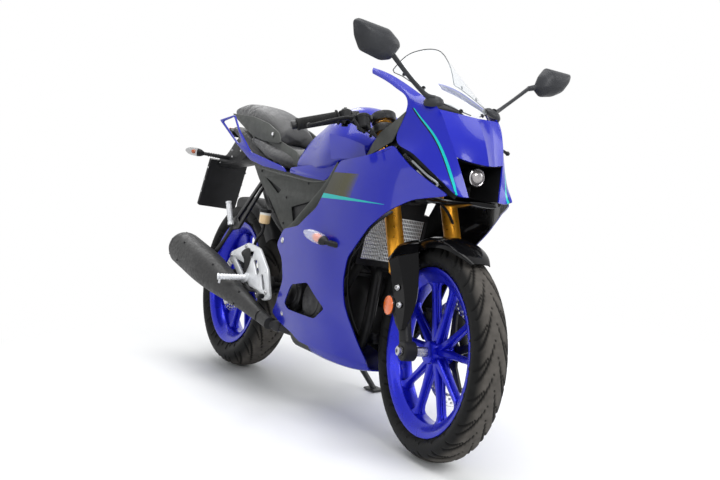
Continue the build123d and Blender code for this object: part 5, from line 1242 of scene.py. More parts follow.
for i, (x, y, z, share) in enumerate(line):
    run, up = can_ways(i)
    across = run.cross(up)
    rings.append([Vector((x, y, z)) + (across * math.cos(turn) + up * math.sin(turn)) * can_reach(turn, share)
        for turn in circuit(40)])
can = Stock().closed_net(rings)
end_run = (Vector(line[-1][:3]) - Vector(line[-4][:3])).normalized()
end = Vector(line[-1][:3])
settle("silencer_body", can, muffler_black, "muffler", 50)
cap = Stock()
cap.lathed([(55, -1), (63.5, -1), (64.5, 3), (64, 10), (60, 26), (51, 44), (40, 49), (36, 46), (24, 44), (20, 46)],
    end, end_run, 48)
cap.lathed([(18, 0), (18, 50), (16, 50), (16, 0), (0, 0)], end, end_run, 32)
for number in range(6):
    turn = 2 * math.pi * number / 6 + 0.5
    out = end_run.cross(LEFT).normalized() * math.sin(turn) + LEFT * math.cos(turn)
    screw(cap, end + end_run * 0.018 + out * 0.0612, out, 3, 2)
settle("silencer_cap", cap, satin_black, slot="muffler_black")
shield, screws = Stock(), Stock()
rows = []
for i in range(4, len(line) - 3):
    x, y, z, share = line[i]
    run, up = can_ways(i)
    span = 62 * (0.75 + 0.25 * math.sin(math.pi * (i - 4) / (len(line) - 8)))
    row = []
    for degrees in np.linspace(-span, span, 13):
        turn = math.radians(degrees + 12)
        way = (-LEFT - run * run.dot(-LEFT)).normalized() * math.cos(turn) + up * math.sin(turn)
        row.append(Vector((x, y, z)) + way * (can_reach(turn, share) + 0.003))
    rows.append(row)
shield.net(rows)
settle("silencer_shield", shield, muffler_black, (), 50, -0.002)
for i, index in ((8, 10), (17, 10), (27, 10), (8, 2), (27, 2)):
    row = rows[min(i, len(rows) - 1)]
    point = row[index]
    centre_line = Vector(line[min(i, len(rows) - 1) + 4][:3])
    screw(screws, point, (point - centre_line), 4.5, 2.5)
settle("silencer_screws", screws, satin_black)
strap = Stock()
strap.bar([grid(-0.2, -1.42, 4.15), grid(0.1, -1.2, 4.8), grid(0.35, -1.08, 5.3)], [9, 7, 9], 5, 12, 0.5)
screw(strap, grid(0.3, -1.1, 5.3), -LEFT, 7, 6)
settle("silencer_hanger", strap, frame_black)


# Bodywork
def soft_body(stations, grow=1.04, tight=0.16):
    """A cage for a soft closed body, from half sections (x, [(y, z) from its top centre to its bottom centre])."""
    rings = []
    for x, half in stations:
        right = [(x, -y, z) for y, z in half]
        left = [(x, y, z) for y, z in reversed(half) if y > 0]
        ring = np.array(metres(right + left))
        middle = ring.mean(0)
        rings.append(middle + (ring - middle) * np.array([1, grow, grow]))
    first, last = rings[0], rings[-1]
    inner_first = first.mean(0) + (first - first.mean(0)) * 0.8
    inner_last = last.mean(0) + (last - last.mean(0)) * 0.8
    near_first = first + (rings[1] - first) * tight
    near_last = last + (rings[-2] - last) * tight
    return Stock().closed_net([inner_first, first, near_first, *rings[1:-1], near_last, last, inner_last])


tank = soft_body([
    (4.85, [(0, 8.3), (0.5, 8.28), (0.85, 8.15), (1, 7.9), (1.05, 7.5), (0, 7.45)]),
    (5.5, [(0, 8.82), (0.55, 8.8), (0.93, 8.7), (1.08, 8.2), (1.12, 7.48), (0, 7.42)]),
    (6.3, [(0, 9.25), (0.6, 9.2), (0.98, 8.95), (1.2, 8.3), (1.22, 7.45), (0, 7.4)]),
    (7.2, [(0, 9.8), (0.65, 9.72), (1.08, 9.3), (1.42, 8.5), (1.36, 7.5), (0, 7.45)]),
    (8, [(0, 9.84), (0.62, 9.77), (1.05, 9.4), (1.5, 8.6), (1.5, 7.85), (0, 7.65)]),
    (8.7, [(0, 9.45), (0.5, 9.4), (0.88, 9.1), (1.37, 8.5), (1.4, 7.95), (0, 7.8)]),
    (9.2, [(0, 9), (0.3, 8.98), (0.5, 8.83), (0.85, 8.5), (0.85, 8.2), (0, 8.15)]),
])
settle("tank_shell", tank, body_blue, "fuel_tank", 60, 0, 3)
for side, name in SIDES:
    flank_rows = [[grid(x, side * y, z) for x, y, z in row] for row in (
        [(7.7, 1.44, 8.75), (8, 1.51, 8.35), (8.2, 1.52, 7.95)],
        [(9.1, 1.46, 8.58), (9.2, 1.52, 8.3), (9.35, 1.54, 7.98)],
        [(10.05, 1.47, 8.4), (10.2, 1.5, 8.2), (10.4, 1.52, 8)])]
    wing = Stock().net(sheet_of(flank_rows, 5, 5))
    settle("tank_wing_" + name, wing, body_blue, (), 40, 0.003)
    foot_piece = plate(Stock(), rounded(metres([(4.75, 7.62), (4.7, 7.45), (5.9, 7.34), (7.3, 7.28), (8.3, 7.8),
        (8.1, 8.1), (6.1, 7.75)]), 0.01), side * 108, side * 120.5)
    settle("tank_foot_" + name, foot_piece, body_blue, (), 40)
cap, cap_screws = Stock(), Stock()
middle, tilt = grid(7.3, 0, 9.735), Vector((-0.02, 0, 1)).normalized()
cap.lathed([(0, -12), (41.5, -12), (41.8, 1), (40.5, 3), (34, 3.5), (33, 2), (32.5, 5.5), (30, 7), (20, 7.2),
    (0, 7.2)], middle, tilt, 48)
cap.block(middle + tilt * 0.008 + Vector((0.008, 0, 0)), (22, 14, 4), ((1, 0, 0), LEFT, tilt), 0.3)
for number, turn in enumerate(circuit(7)):
    screw(cap_screws, middle + tilt * 0.003 + Vector((math.cos(turn), math.sin(turn), 0)) * 0.0375, tilt, 2.6, 2)
settle("filler_cap", cap, satin_black)
settle("filler_screws", cap_screws, steel)

tail = soft_body([
    (-2.7, [(0, 9.2), (0.4, 9.2), (0.45, 8.95), (0, 8.9)]),
    (-0.6, [(0, 8.95), (0.62, 8.9), (0.7, 8.35), (0, 8.3)]),
    (1.2, [(0, 8.2), (0.85, 8.15), (0.85, 7.75), (0, 7.75)]),
    (3.9, [(0, 7.5), (0.7, 7.5), (0.7, 7.2), (0, 7.2)]),
], 1.06)
settle("tail_tray", tail, satin_black, "inner_tail", 60, 0, 3)

# Seats: how finely their covers are netted, how hard they are blown out and how far they may go
CLOTH_NET = 0.006
CLOTH_PRESSURE = 4
CLOTH_FRAMES = 20
MOST_SWELL = 0.008


def swollen(piece):
    """Blows a cushion's cover out as cloth, and lets no point move further than the most."""
    net = piece.modifiers.new("net", "REMESH")
    net.mode = "VOXEL"
    net.voxel_size = CLOTH_NET
    applied(piece)
    before = np.array([tuple(vertex.co) for vertex in piece.data.vertices])
    cloth = piece.modifiers.new("cloth", "CLOTH")
    cloth.settings.use_pressure = True
    cloth.settings.uniform_pressure_force = CLOTH_PRESSURE
    cloth.settings.effector_weights.gravity = 0
    for number in range(1, CLOTH_FRAMES + 1):
        bpy.context.scene.frame_set(number)
    applied(piece)
    after = np.array([tuple(vertex.co) for vertex in piece.data.vertices])
    bpy.context.scene.frame_set(1)
    moved = after - before
    length = np.linalg.norm(moved, axis=1)[:, None] + 1e-9
    kept = before + moved * np.minimum(1, MOST_SWELL / length)
    piece.data.vertices.foreach_set("co", kept.reshape(-1))
    soft = piece.modifiers.new("smooth", "SUBSURF")
    soft.levels = soft.render_levels = 1
    applied(piece)
    piece.data.shade_smooth()


def seat(name, stations, node):
    """A padded seat: its cover is shaped as cloth over its foam."""
    cage = soft_body(stations, 1, 0.2)
    piece = settle(name, cage, seat_vinyl, node, 70, 0, 3)
    swollen(piece)


seat("rider_cushion", [
    (0.35, [(0, 8.86), (0.45, 8.86), (0.8, 8.82), (0.98, 8.72), (0.92, 8.55), (0, 8.5)]),
    (1.3, [(0, 8.7), (0.45, 8.7), (0.82, 8.66), (1.06, 8.46), (1, 8.15), (0, 8.1)]),
    (2.2, [(0, 8.42), (0.5, 8.41), (0.94, 8.36), (1.18, 8.12), (1.1, 7.85), (0, 7.85)]),
    (3.4, [(0, 8.24), (0.45, 8.23), (0.84, 8.18), (1.1, 7.9), (1, 7.66), (0, 7.66)]),
    (4.3, [(0, 8.32), (0.34, 8.31), (0.64, 8.25), (0.88, 7.88), (0.8, 7.58), (0, 7.58)]),
    (4.9, [(0, 8.62), (0.28, 8.6), (0.52, 8.5), (0.7, 8), (0.62, 7.6), (0, 7.6)]),
], "rider_seat")
seat("pillion_cushion", [
    (-2.3, [(0, 9.98), (0.3, 9.97), (0.5, 9.92), (0.66, 9.76), (0.5, 9.56), (0, 9.52)]),
    (-1.2, [(0, 10.03), (0.38, 10.02), (0.66, 9.94), (0.84, 9.64), (0.7, 9.22), (0, 9.15)]),
    (0.3, [(0, 9.88), (0.42, 9.86), (0.72, 9.77), (0.96, 9.32), (0.88, 8.84), (0, 8.8)]),
    (1.5, [(0, 9.62), (0.38, 9.6), (0.66, 9.48), (0.94, 8.98), (0.86, 8.64), (0, 8.62)]),
    (2.5, [(0, 9.12), (0.3, 9.1), (0.55, 8.98), (0.78, 8.66), (0.7, 8.46), (0, 8.46)]),
], "pillion_seat")
shell, lock = Stock(), Stock()
for side in (-1, 1):
    plate(shell, rounded(metres([(-1.9, 9.62), (0.3, 9.46), (1.7, 9.2), (2.75, 8.84), (2.95, 8.46), (1.4, 8.56),
        (0.2, 8.8), (-1, 9.25)]), 0.02), side * 82, side * 88.5)
    plate(shell, rounded(metres([(-0.9, 9.42), (0.3, 9.3), (0.9, 8.9), (2.6, 8.62), (4.3, 8.2), (4.5, 7.7), (1.8, 8),
        (0.6, 8.5)]), 0.02), side * 76, side * 80)
screw(shell, grid(2.3, -0.9, 8.8), -LEFT, 11, 3)
lock.lathed([(0, 0), (6.2, 0), (6.2, 4), (5.2, 5), (1.5, 5), (1, 3), (0, 3)], grid(2.3, -0.9, 8.8), -LEFT, 24)
settle("seat_side_shells", shell, horn_grey, (), 40)
settle("seat_lock", lock, chrome, (), 40)

blade_outline = rounded(metres([(4.7, 7.44), (2.87, 7.58), (1.76, 7.76), (0.43, 8.31), (-1.5, 9.24), (-0.15, 9.44),
    (0.45, 8.86), (1.7, 8.06), (4.4, 7.62)]), 0.012)
blade_gap = rounded(metres([(-1.15, 9.18), (-0.2, 9.36), (0.36, 8.82), (0.8, 8.42), (0.55, 8.34)]), 0.012)
splay = math.radians(2)
for side, name in SIDES:
    across = Vector((math.cos(splay), side * -math.sin(splay), 0))
    out = Vector((side * math.sin(splay), side * math.cos(splay), 0)) * side
    pivot_x = 0.47
    outline = [(x - pivot_x, z) for x, z in blade_outline]
    gap = [(x - pivot_x, z) for x, z in blade_gap]
    blade = plate(Stock(), outline, side * 124.5, side * 130.5, [gap], 2.8, 0,
        (Vector((pivot_x, 0, 0)), across, UP, out))
    settle("tail_blade_" + name, blade, body_blue, "tail_blades" if side < 0 else (), 40)

cover_outline = rounded(metres([(1.55, 7.68), (5.06, 7.42), (7.04, 7.34), (8.7, 7.9), (9.5, 7.75), (9, 6.85),
    (7.4, 5.9), (6.5, 5.5), (5.64, 5.66), (4.9, 5.44), (4.36, 5.78), (3.38, 6.46), (2.23, 7.11)]), 0.012)
cover_holes = [rounded(metres(hole), 0.008) for hole in (
    [(2.73, 7.23), (3.97, 6.69), (4.21, 6.83)], [(5.16, 6.3), (6.65, 6.6), (6, 6.05), (5.45, 5.78)])]
horn_line = [(8.26, 7.82), (7.7, 7.18), (6.9, 6.56), (6.2, 6.08), (5.64, 5.72), (5, 5.48)]
for side, name in SIDES:
    cover = plate(Stock(), cover_outline, side * 112.5, side * 116.8, cover_holes, 2)
    fasteners = Stock()
    screw_row(fasteners, side, 1.165, [(2.4, 7.42), (4.75, 5.72), (6.2, 7.15), (8.6, 7.5), (4.7, 6.6)], 5, 2.5)
    settle("side_cover_plate_" + name, cover, cover_grey, "side_cover_" + name)
    behind = Stock()
    for hole in ([(2.45, 7.35), (4, 6.5), (4.5, 6.85), (3, 7.35)],
            [(4.9, 6.45), (6.9, 6.8), (6.2, 5.85), (5.3, 5.6)]):
        plate(behind, metres(hole), side * 106.5, side * 109.5)
    settle("side_cover_back_" + name, behind, satin_black)
    settle("side_cover_screws_" + name, fasteners, satin_black)
    rib = Stock()
    rib.bar(sided(side, (2, 1.17, 7.54), (5, 1.172, 7.3), (7, 1.172, 7.24), (8.9, 1.172, 7.7)), 3, 5, 8)
    rib.bar([grid(x, side * 1.172, z) for x, z in horn_line], [18, 17.5, 16.5, 15, 12, 6], 6, 14, 0.35)
    settle("side_cover_rib_" + name, rib, horn_grey, (), 60)


# Side fairings: a bowed sheet cut to its outline, with a dark band and a turquoise line
def banded(name):
    """The body paint with its dark fading band and the turquoise line below it."""
    paint = gloss_paint(name, BLUE, BLUE_FLAKE)
    x, y, z = paint.axes(paint.place())
    base = Value(paint, paint.shader.inputs["Base Color"].links[0].from_socket)
    rise = z - 0.68 + (x - 0.863) * 0.014
    wide = paint.between(x, 0.84, 1.22, 0.0085, 0.0004)
    line = (rise < wide) * (rise > 0 - wide) * (x > 0.845) * (x < 1.22)
    slant = x - (z - 0.69) * 0.35
    band = (rise > wide) * (z < 0.752) * (slant > 0.835) * (slant < 1.06)
    fade = paint.between(slant, 0.88, 1.06, 1, 0) ** 0.8
    grain = paint.between(paint.cells(paint.place(), 900), 0.2, 0.6)
    dark = paint.blend(fade, (0.075, 0.068, 0.006), (0.008, 0.008, 0.004))
    solid = band * paint.between(fade + (grain - 0.5) * 0.25, 0, 0.3)
    colour = paint.blend(line, paint.blend(solid, base, dark), TURQUOISE)
    inside = paint.add("ShaderNodeAttribute", {"attribute_name": "inside"}, {}, "Fac")
    return paint.put("Base Color", paint.blend(inside, colour, (0.003, 0.003, 0.0035)))


fairing_paint = banded("fairing_blue")
stations = [5, 6.5, 8, 9.2, 10.3, 11.3, 12.4, 13.3, 14.1, 14.8]
levels = [
    (8.8, [1.45, 1.5, 1.55, 1.6, 1.62, 1.62, 1.5, 1.2, 0.75, 0.4]),
    (7.9, [1.6, 1.72, 1.8, 1.86, 1.9, 1.86, 1.7, 1.38, 0.9, 0.5]),
    (7.1, [1.7, 1.84, 1.94, 2, 2, 1.95, 1.76, 1.42, 0.98, 0.6]),
    (6.1, [1.75, 1.9, 2, 2, 2, 1.95, 1.82, 1.5, 1.1, 0.7]),
    (5, [1.72, 1.85, 1.95, 1.98, 1.92, 1.86, 1.7, 1.5, 1.2, 0.9]),
    (3.8, [1.55, 1.68, 1.76, 1.76, 1.66, 1.5, 1.3, 1.1, 0.9, 0.7]),
    (2.9, [1.35, 1.5, 1.55, 1.45, 1.14, 0.9, 0.7, 0.5, 0.4, 0.3]),
    (1.95, [1.1, 1.2, 1.18, 0.9, 0.4, 0.3, 0.25, 0.2, 0.2, 0.2]),
]
fairing_outline = [
    (9.42, 7.88), (9.12, 7.15), (8.6, 6.4), (7.48, 5.75), (6.3, 5.56), (5.8, 5.02), (6.32, 4.6), (6.43, 3.95),
    (6.1, 3.5), (5.75, 3.1), (5.25, 2.72), (5.9, 2.5), (6.9, 2.3), (7.3, 2.12), (8.6, 2.05),
    (10.32, 2), (10.41, 2.9), (10.46, 3.75), (10.55, 4.5), (10.74, 5.09), (11.13, 5.48), (11.65, 6.04), (12.46, 6.64),
    (13.1, 6.99), (13.83, 7.16), (14, 7.22), (12.9, 7.82), (11.95, 8.42), (11.1, 8.12), (10.4, 8),
]
fairing_window = [(6.51, 3.2), (7.14, 3.87), (8.38, 4.09), (9.36, 3.44), (8.67, 3.03), (6.77, 3.04)]
fairing_rows = [[grid(x, -y, z) for x, y in zip(stations, widths)] for z, widths in levels]
for side, name in SIDES:
    rows = fairing_rows if side < 0 else both(fairing_rows)
    skin = Stock().net(sheet_of(rows, 10, 10))
    piece = settle("fairing_panel_" + name, skin, fairing_paint, "side_fairing_" + name, 40, 0.004, slot="body_blue")
    near, far = sorted((side * 20, side * 260))
    outside = cutter_of(rounded(fairing_outline, 0.16), near, far)
    window = cutter_of(rounded(fairing_window, 0.14), near, far)
    outside.matrix_world = window.matrix_world = piece.matrix_world
    bpy.context.view_layer.update()
    cut(piece, outside, "INTERSECT")
    cut(piece, window, "DIFFERENCE")
    for tool in (outside, window):
        bpy.data.objects.remove(tool)
    piece.data.set_sharp_from_angle(angle=math.radians(35))
    inside = piece.data.attributes.new("inside", "FLOAT", "POINT")
    for vertex, mark in zip(piece.data.vertices, inside.data):
        mark.value = float(vertex.normal.y * side < -0.1)
    studs, rings_of_studs = Stock(), Stock()
    for x, z in ((6.3, 5.2), (6.25, 2.85)):
        width = min((abs(p.x - x / 10) + abs(p.z - z / 10), abs(p.y)) for p in map(Vector, skin.points))[1]
        screw(studs, (x / 10, side * (width + 0.0002), z / 10), LEFT * side, 8.5, 2.5)
        screw(rings_of_studs, (x / 10, side * (width - 0.0022), z / 10), LEFT * side, 11.5, 2.5)
    settle("fairing_screws_" + name, studs, steel)
    settle("fairing_screw_cups_" + name, rings_of_studs, satin_black)
    ledge = Stock().net(sheet_of([sided(side, (x, y, z), (x + 0.05, inner, z + 0.1)) for x, y, z, inner in (
        (9.3, 1.84, 7.8, 1.53), (10.4, 1.87, 7.93, 1.52), (11.2, 1.83, 8.07, 1.5), (11.9, 1.71, 8.33, 1.48))], 5, 3))
    settle("fairing_ledge_" + name, ledge, gloss_black, (), 50, 0.003)
    seam = Stock().net(sheet_of([
        sided(side, (11.6, 1.4, 9.2), (12, 1.38, 8.75), (12.8, 1.26, 8.3), (13.5, 1, 7.85), (14.05, 0.74, 7.42)),
        sided(side, (11.3, 1.52, 8.3), (11.9, 1.48, 8.05), (12.6, 1.32, 7.75), (13.3, 1.02, 7.45),
        (13.9, 0.74, 7.15))], 4, 5))
    settle("seam_backing_" + name, seam, satin_black, (), 50, 0.003)
    fold = Stock()
    fold_rows = sided(side, (12, 1.47, 9.39), (10.88, 1.53, 8.78), (10.29, 1.54, 8.05))
    front_low, low = grid(11.9, side * 1.52, 9), grid(11.73, side * 1.62, 8.51)
    fold.join([fold_rows[0], grid(11.31, side * 1.48, 9.02), fold_rows[1], low, front_low], [(0, 1, 2, 3, 4)])
    fold.join([fold_rows[1], grid(10.54, side * 1.51, 8.49), fold_rows[2], low], [(0, 1, 2, 3)])
    settle("steering_side_panel_" + name, fold, cover_grey, (), 15, 0.003)

inner_rows = [(10.4, 0.96, 2.9, 9.6, 0.6), (10.45, 1.46, 3.75, 9.65, 0.95), (10.5, 1.66, 4.5, 9.8, 1.25),
    (10.69, 1.76, 5.09, 10.1, 1.3), (11.08, 1.77, 5.48, 10.4, 1.4), (11.6, 1.79, 6.04, 10.9, 1.5),
    (12.4, 1.64, 6.6, 11.7, 1.5)]
for side, name in SIDES:
    rows = []
    for x, y, z, back, deep in inner_rows:
        rows.append(sided(side, (x, y, z), ((x + back) / 2, (y + deep) / 2, z + 0.02), (back, deep, z + 0.04)))
    lining = Stock().net(sheet_of(rows, 5, 4))
    settle("fairing_lining_" + name, lining, gloss_black, "inner_panels" if side < 0 else (), 50, 0.003)

belly_rows = []
for x, edge, high, floor, low in ((6.1, 1.04, 2.4, 0.7, 1.85), (7.3, 1, 2.3, 0.65, 1.8), (8.4, 0.95, 2.2, 0.6, 1.75),
        (9.4, 0.68, 2.12, 0.35, 1.75), (10.1, 0.36, 2.1, 0.2, 1.85)):
    belly_rows.append([grid(x, -edge, high), grid(x, -floor, low), grid(x, 0, low - 0.03), grid(x, floor, low),
        grid(x, edge, high)])
settle("belly_shell", Stock().net(sheet_of(belly_rows[1:], 6, 5)), body_blue, "belly_pan", 40, 0.004)
settle("belly_rear", Stock().net(sheet_of(belly_rows[:2], 6, 5)), cover_grey, (), 40, 0.004)


# Nose cowl, screen and lamps
def striped(name):
    """The body paint with the cowl's tapering turquoise lines, each with a thin black edge."""
    paint = gloss_paint(name, BLUE, BLUE_FLAKE)
    x, y, z = paint.axes(paint.place())
    base = Value(paint, paint.shader.inputs["Base Color"].links[0].from_socket)
    height = paint.between(z, 0.75, 0.95, 0, 1)
    course = 0.087 + height * 0.048 - height * (1 - height) * 0.012
    across = paint.add("ShaderNodeMath", {"operation": "ABSOLUTE"}, {0: y})
    off = across - course
    wide = paint.between(z, 0.76, 0.95, 0.0038, 0.0007)
    front = (x > 1.19) * (z < 0.95)
    line = (off < wide) * (off > 0 - wide) * front
    edge = (off < wide + 0.0022) * (off > wide) * front
    colour = paint.blend(edge, base, (0.004, 0.004, 0.005))
    return paint.put("Base Color", paint.blend(line, colour, TURQUOISE))


cowl_paint = striped("cowl_blue")
nose_half = [[(13.36, 0, 9.44), (13.1, -0.5, 9.49), (12.94, -1.02, 9.52)],
    [(13.84, 0, 8.84), (13.57, -0.5, 8.83), (13.42, -0.93, 8.9)],
    [(14.2, 0, 8.16), (13.89, -0.42, 8.2), (13.76, -0.78, 8.28)]]
flank = [
    [(9.35, -1.2, 10.8), (10.5, -1.18, 10.52), (11.8, -1.1, 10.03), (12.94, -1.02, 9.52), (13.42, -0.93, 8.9),
    (13.76, -0.78, 8.28), (14.2, -0.5, 7.25)],
    [(9.42, -1.26, 10.71), (10.7, -1.3, 10.34), (12, -1.32, 9.8), (12.6, -1.28, 9.05), (13.2, -1.18, 8.5),
    (13.65, -1.02, 8), (14.15, -0.75, 7.25)],
    [(9.5, -1.28, 10.6), (11, -1.36, 10.13), (11.95, -1.42, 9.6), (11.9, -1.56, 8.56), (12.8, -1.5, 8.2),
    (13.5, -1.25, 7.75), (14.15, -0.98, 7.35)],
]
right_nose = [[grid(*p) for p in reversed(row)] for row in nose_half]
right_flank = [[grid(*p) for p in row] for row in flank]
cowl = Stock()
for rows in (right_nose, both(right_nose), right_flank, both(right_flank)):
    cowl.net(sheet_of(rows, 10, 8))
settle("nose_cowl", cowl, cowl_paint, "upper_cowl", 28, 0.004, slot="body_blue")

screen_half = [[(10.35, 1.1, 10.7), (10.5, 0.7, 11.25), (10.78, 0, 11.5)],
    [(11.7, 0.98, 10.17), (11.75, 0.6, 10.55), (11.8, 0, 10.78)],
    [(12.72, 0.75, 9.72), (12.85, 0.4, 9.88), (12.9, 0, 9.98)],
    [(13.2, 0.12, 9.5), (13.24, 0.06, 9.5), (13.26, 0, 9.5)]]
screen_rows = [sided(-1, *row) + sided(1, *reversed(row[:2])) for row in screen_half]
pane = sheet_of(screen_rows, 8, 8)
settle("screen_pane", Stock().net(pane), screen_clear, "windscreen", 60, 0.003)
rim_line, screws = Stock(), Stock()
edge = [tuple(row[0]) for row in pane][::-1] + [tuple(p) for p in pane[0]] + [tuple(row[-1]) for row in pane]
rim_line.bar(edge[::3], 1.4, 3, 6)
for i in (3, 9, 15, 21):
    for end_index in (1, -2):
        point = Vector(pane[i][end_index])
        normal = (Vector(pane[i][end_index]) - Vector((point.x - 0.1, 0, point.z - 0.06))).normalized()
        screw(screws, point, normal, 5.5, 3)
settle("screen_edge", rim_line, satin_black)
settle("screen_screws", screws, satin_black)

mouth = [(13.74, -0.79, 8.25), (13.88, -0.44, 8.18), (14.12, 0, 8.14), (13.88, 0.44, 8.18), (13.74, 0.79, 8.25),
    (14.18, 0.5, 7.25), (14.2, 0, 7.2), (14.18, -0.5, 7.25)]
back = [(12.7, -0.6, 8.1), (12.72, -0.35, 8.13), (12.75, 0, 8.14), (12.72, 0.35, 8.13), (12.7, 0.6, 8.1),
    (12.95, 0.42, 7.15), (12.97, 0, 7.12), (12.95, -0.42, 7.15)]
duct = Stock()
front_ring, back_ring = [grid(*p) for p in mouth], [grid(*p) for p in back]
rings = []
for share in (0, 0.04, 0.5, 0.96, 1):
    rings.append([a.lerp(b, share) for a, b in zip(front_ring, back_ring)])
centre = sum(back_ring, Vector()) / 8
rings.append([p.lerp(centre, 0.35) for p in back_ring])
rings.append([p.lerp(centre, 0.98) for p in back_ring])
duct.net(rings, True)
settle("nose_duct_lining", duct, satin_black, "nose_duct", 40)
fins = Stock()
for number in range(5):
    share = (number + 1) / 6
    a, b = back_ring[7].lerp(back_ring[0], share), back_ring[5].lerp(back_ring[4], share)
    fins.block((a + b) / 2 + Vector((0.006, 0, 0)), (12, (b - a).length * 900, 2), ((1, 0, 0), LEFT, (0, 0, 1)), 0.2)
settle("nose_duct_fins", fins, satin_black)
chin = soft_body([
    (12.2, [(0, 7.25), (0.5, 7.2), (0.6, 7), (0, 7)]),
    (13.4, [(0, 7.2), (0.65, 7.15), (0.65, 7), (0, 6.95)]),
    (14.25, [(0, 7.18), (0.45, 7.15), (0.42, 7.08), (0, 7.05)]),
], 1.08)
settle("nose_chin", chin, gloss_black, (), 50, 0, 2)

shroud = Stock()
plate(shroud, metres([(9.86, 6.68), (10.14, 6.62), (10.24, 7), (10.2, 7.45), (9.95, 7.4)]), -90, 90, (), 4)
settle("radiator_shroud", shroud, satin_black, (), 40)
barrel, glass, ring = Stock(), Stock(), Stock()
face = grid(13.72, 0, 7.83)
barrel.lathed([(0, -58), (20, -58), (25.5, -50), (25.5, -4), (24.5, 0), (23.5, -6), (0, -8)], face, (1, 0, 0), 40)
ring.lathed([(23.5, -5), (25.5, -2), (25.2, 3), (23.5, 4), (22.5, 1), (20.5, -2)], face, (1, 0, 0), 40)
glass.lathed([(21.5, -2), (20.5, 4), (17, 8.5), (11, 11.5), (5, 12.5), (0, 12.8)], face, (1, 0, 0), 40)
settle("lamp_barrel", barrel, satin_black, "headlight", slot="lamp_clear")
settle("lamp_ring", ring, chrome, slot="lamp_clear")
lens_glass = Finish("lens_glass", (0.62, 0.6, 0.62), 0.05, Metallic=0.55, Coat_Weight=1)
lens_glass.put("Base Color", lens_glass.blend(lens_glass.noise(lens_glass.place(), 60), (0.08, 0.08, 0.1),
    (0.62, 0.58, 0.56)))
settle("lamp_lens", glass, lens_glass)

strip_white = Finish("strip_white", (0.85, 0.87, 0.9), 0.3, Coat_Weight=0.8, Emission_Strength=0.5)
strip_white.put("Emission Color", strip_white.blend(strip_white.noise(strip_white.place(), 90), (0.75, 0.8, 0.85),
    (0.95, 0.97, 1)))
lamp_line = metres([(12.3, 8.22), (13.2, 7.68), (13.7, 7.42), (13.55, 7.38), (13, 7.55), (12.1, 8.1)])
angle = math.radians(-21)
for side, name in SIDES:
    across = Vector((math.cos(angle), side * math.sin(angle), 0))
    out = Vector((-math.sin(angle), side * math.cos(angle), 0))
    origin = Vector((1.32, side * 0.112, 0))
    outline = [(x - 1.32, z) for x, z in lamp_line]
    base_plate = plate(Stock(), outline, -1, 4, (), 1, 0, (origin, across, UP, out))
    settle("lamp_slot_" + name, base_plate, gloss_black, "position_lamps" if side < 0 else (), slot="lamp_clear")
    strip = Stock()
    run_points = [(12.55, 8.03), (13.1, 7.7), (13.5, 7.47), (13.46, 7.43), (13.1, 7.56), (12.75, 7.78)]
    strip.bar([origin + across * (x / 10 - 1.32) + Vector((0, 0, z / 10)) + out * 0.0055 for x, z in run_points], 2.8,
        5, 10)
    settle("lamp_strip_" + name, strip, strip_white, (), 60)
    cover = plate(Stock(), outline, 8.5, 9.8, (), 0.5, 0, (origin, across, UP, out))
    settle("lamp_cover_" + name, cover, lamp_pane)

panel = soft_body([
    (11.15, [(0, 9.9), (0.7, 9.85), (0.72, 9.4), (0, 9.3)]),
    (11.45, [(0, 9.98), (0.74, 9.93), (0.74, 9.25), (0, 9.22)]),
    (11.92, [(0, 9.72), (0.72, 9.68), (0.72, 9.32), (0, 9.3)]),
], 1, 0.3)
settle("dial_housing", panel, satin_black, "instrument_panel", 50, 0, 2)
dial_glass = Finish("dial_glass", (0.02, 0.025, 0.03), 0.08, Coat_Weight=1)
dial_glass.put("Base Color", dial_glass.blend(dial_glass.noise(dial_glass.place(), 70), (0.012, 0.014, 0.018),
    (0.035, 0.04, 0.05)))
glass = Stock()
glass.block(grid(11.2, 0, 9.6), (112, 52, 4), (LEFT, Vector((-0.29, 0, 0.957)), Vector((-0.957, 0, -0.29))), 0.3)
settle("dial_face", glass, dial_glass)

# Mirrors, signals, plate holder, tail lamp
def signal(label, name, node, points, before, bend, stem_radii, rib, first_rib, glass, *runs):
    """A signal on a ribbed stem. Its shell, lens and bulb are runs of distances in mm along it, with radii."""
    root, middle, tip = points
    share, aside = bend
    run = (tip - middle).normalized()
    parts = [Stock(), Stock(), Stock()]
    parts[0].bar([*before, root, root.lerp(middle, share) + aside, middle], stem_radii, 5, 14)
    for number in range(5):
        parts[0].turned([(0.0072, 0), (rib / 1000, 0.001), (rib / 1000, 0.0035), (0.0072, 0.0045)],
            root.lerp(middle, first_rib + number * 0.13), middle - root, 16)
    for part, (distances, radii), steps in zip(parts, runs, ((6, 24, 0.72), (7, 24, 0.72), (5, 16))):
        part.bar([middle + run * distance / 1000 for distance in distances], radii, *steps)
    settle(label + "stem_" + name, parts[0], satin_black, node, slot="lamp_clear")
    settle(label + "lens_" + name, parts[1], glass, (), 70, slot="lamp_clear")
    settle(label + "bulb_" + name, parts[2], orange_lens, (), 70)


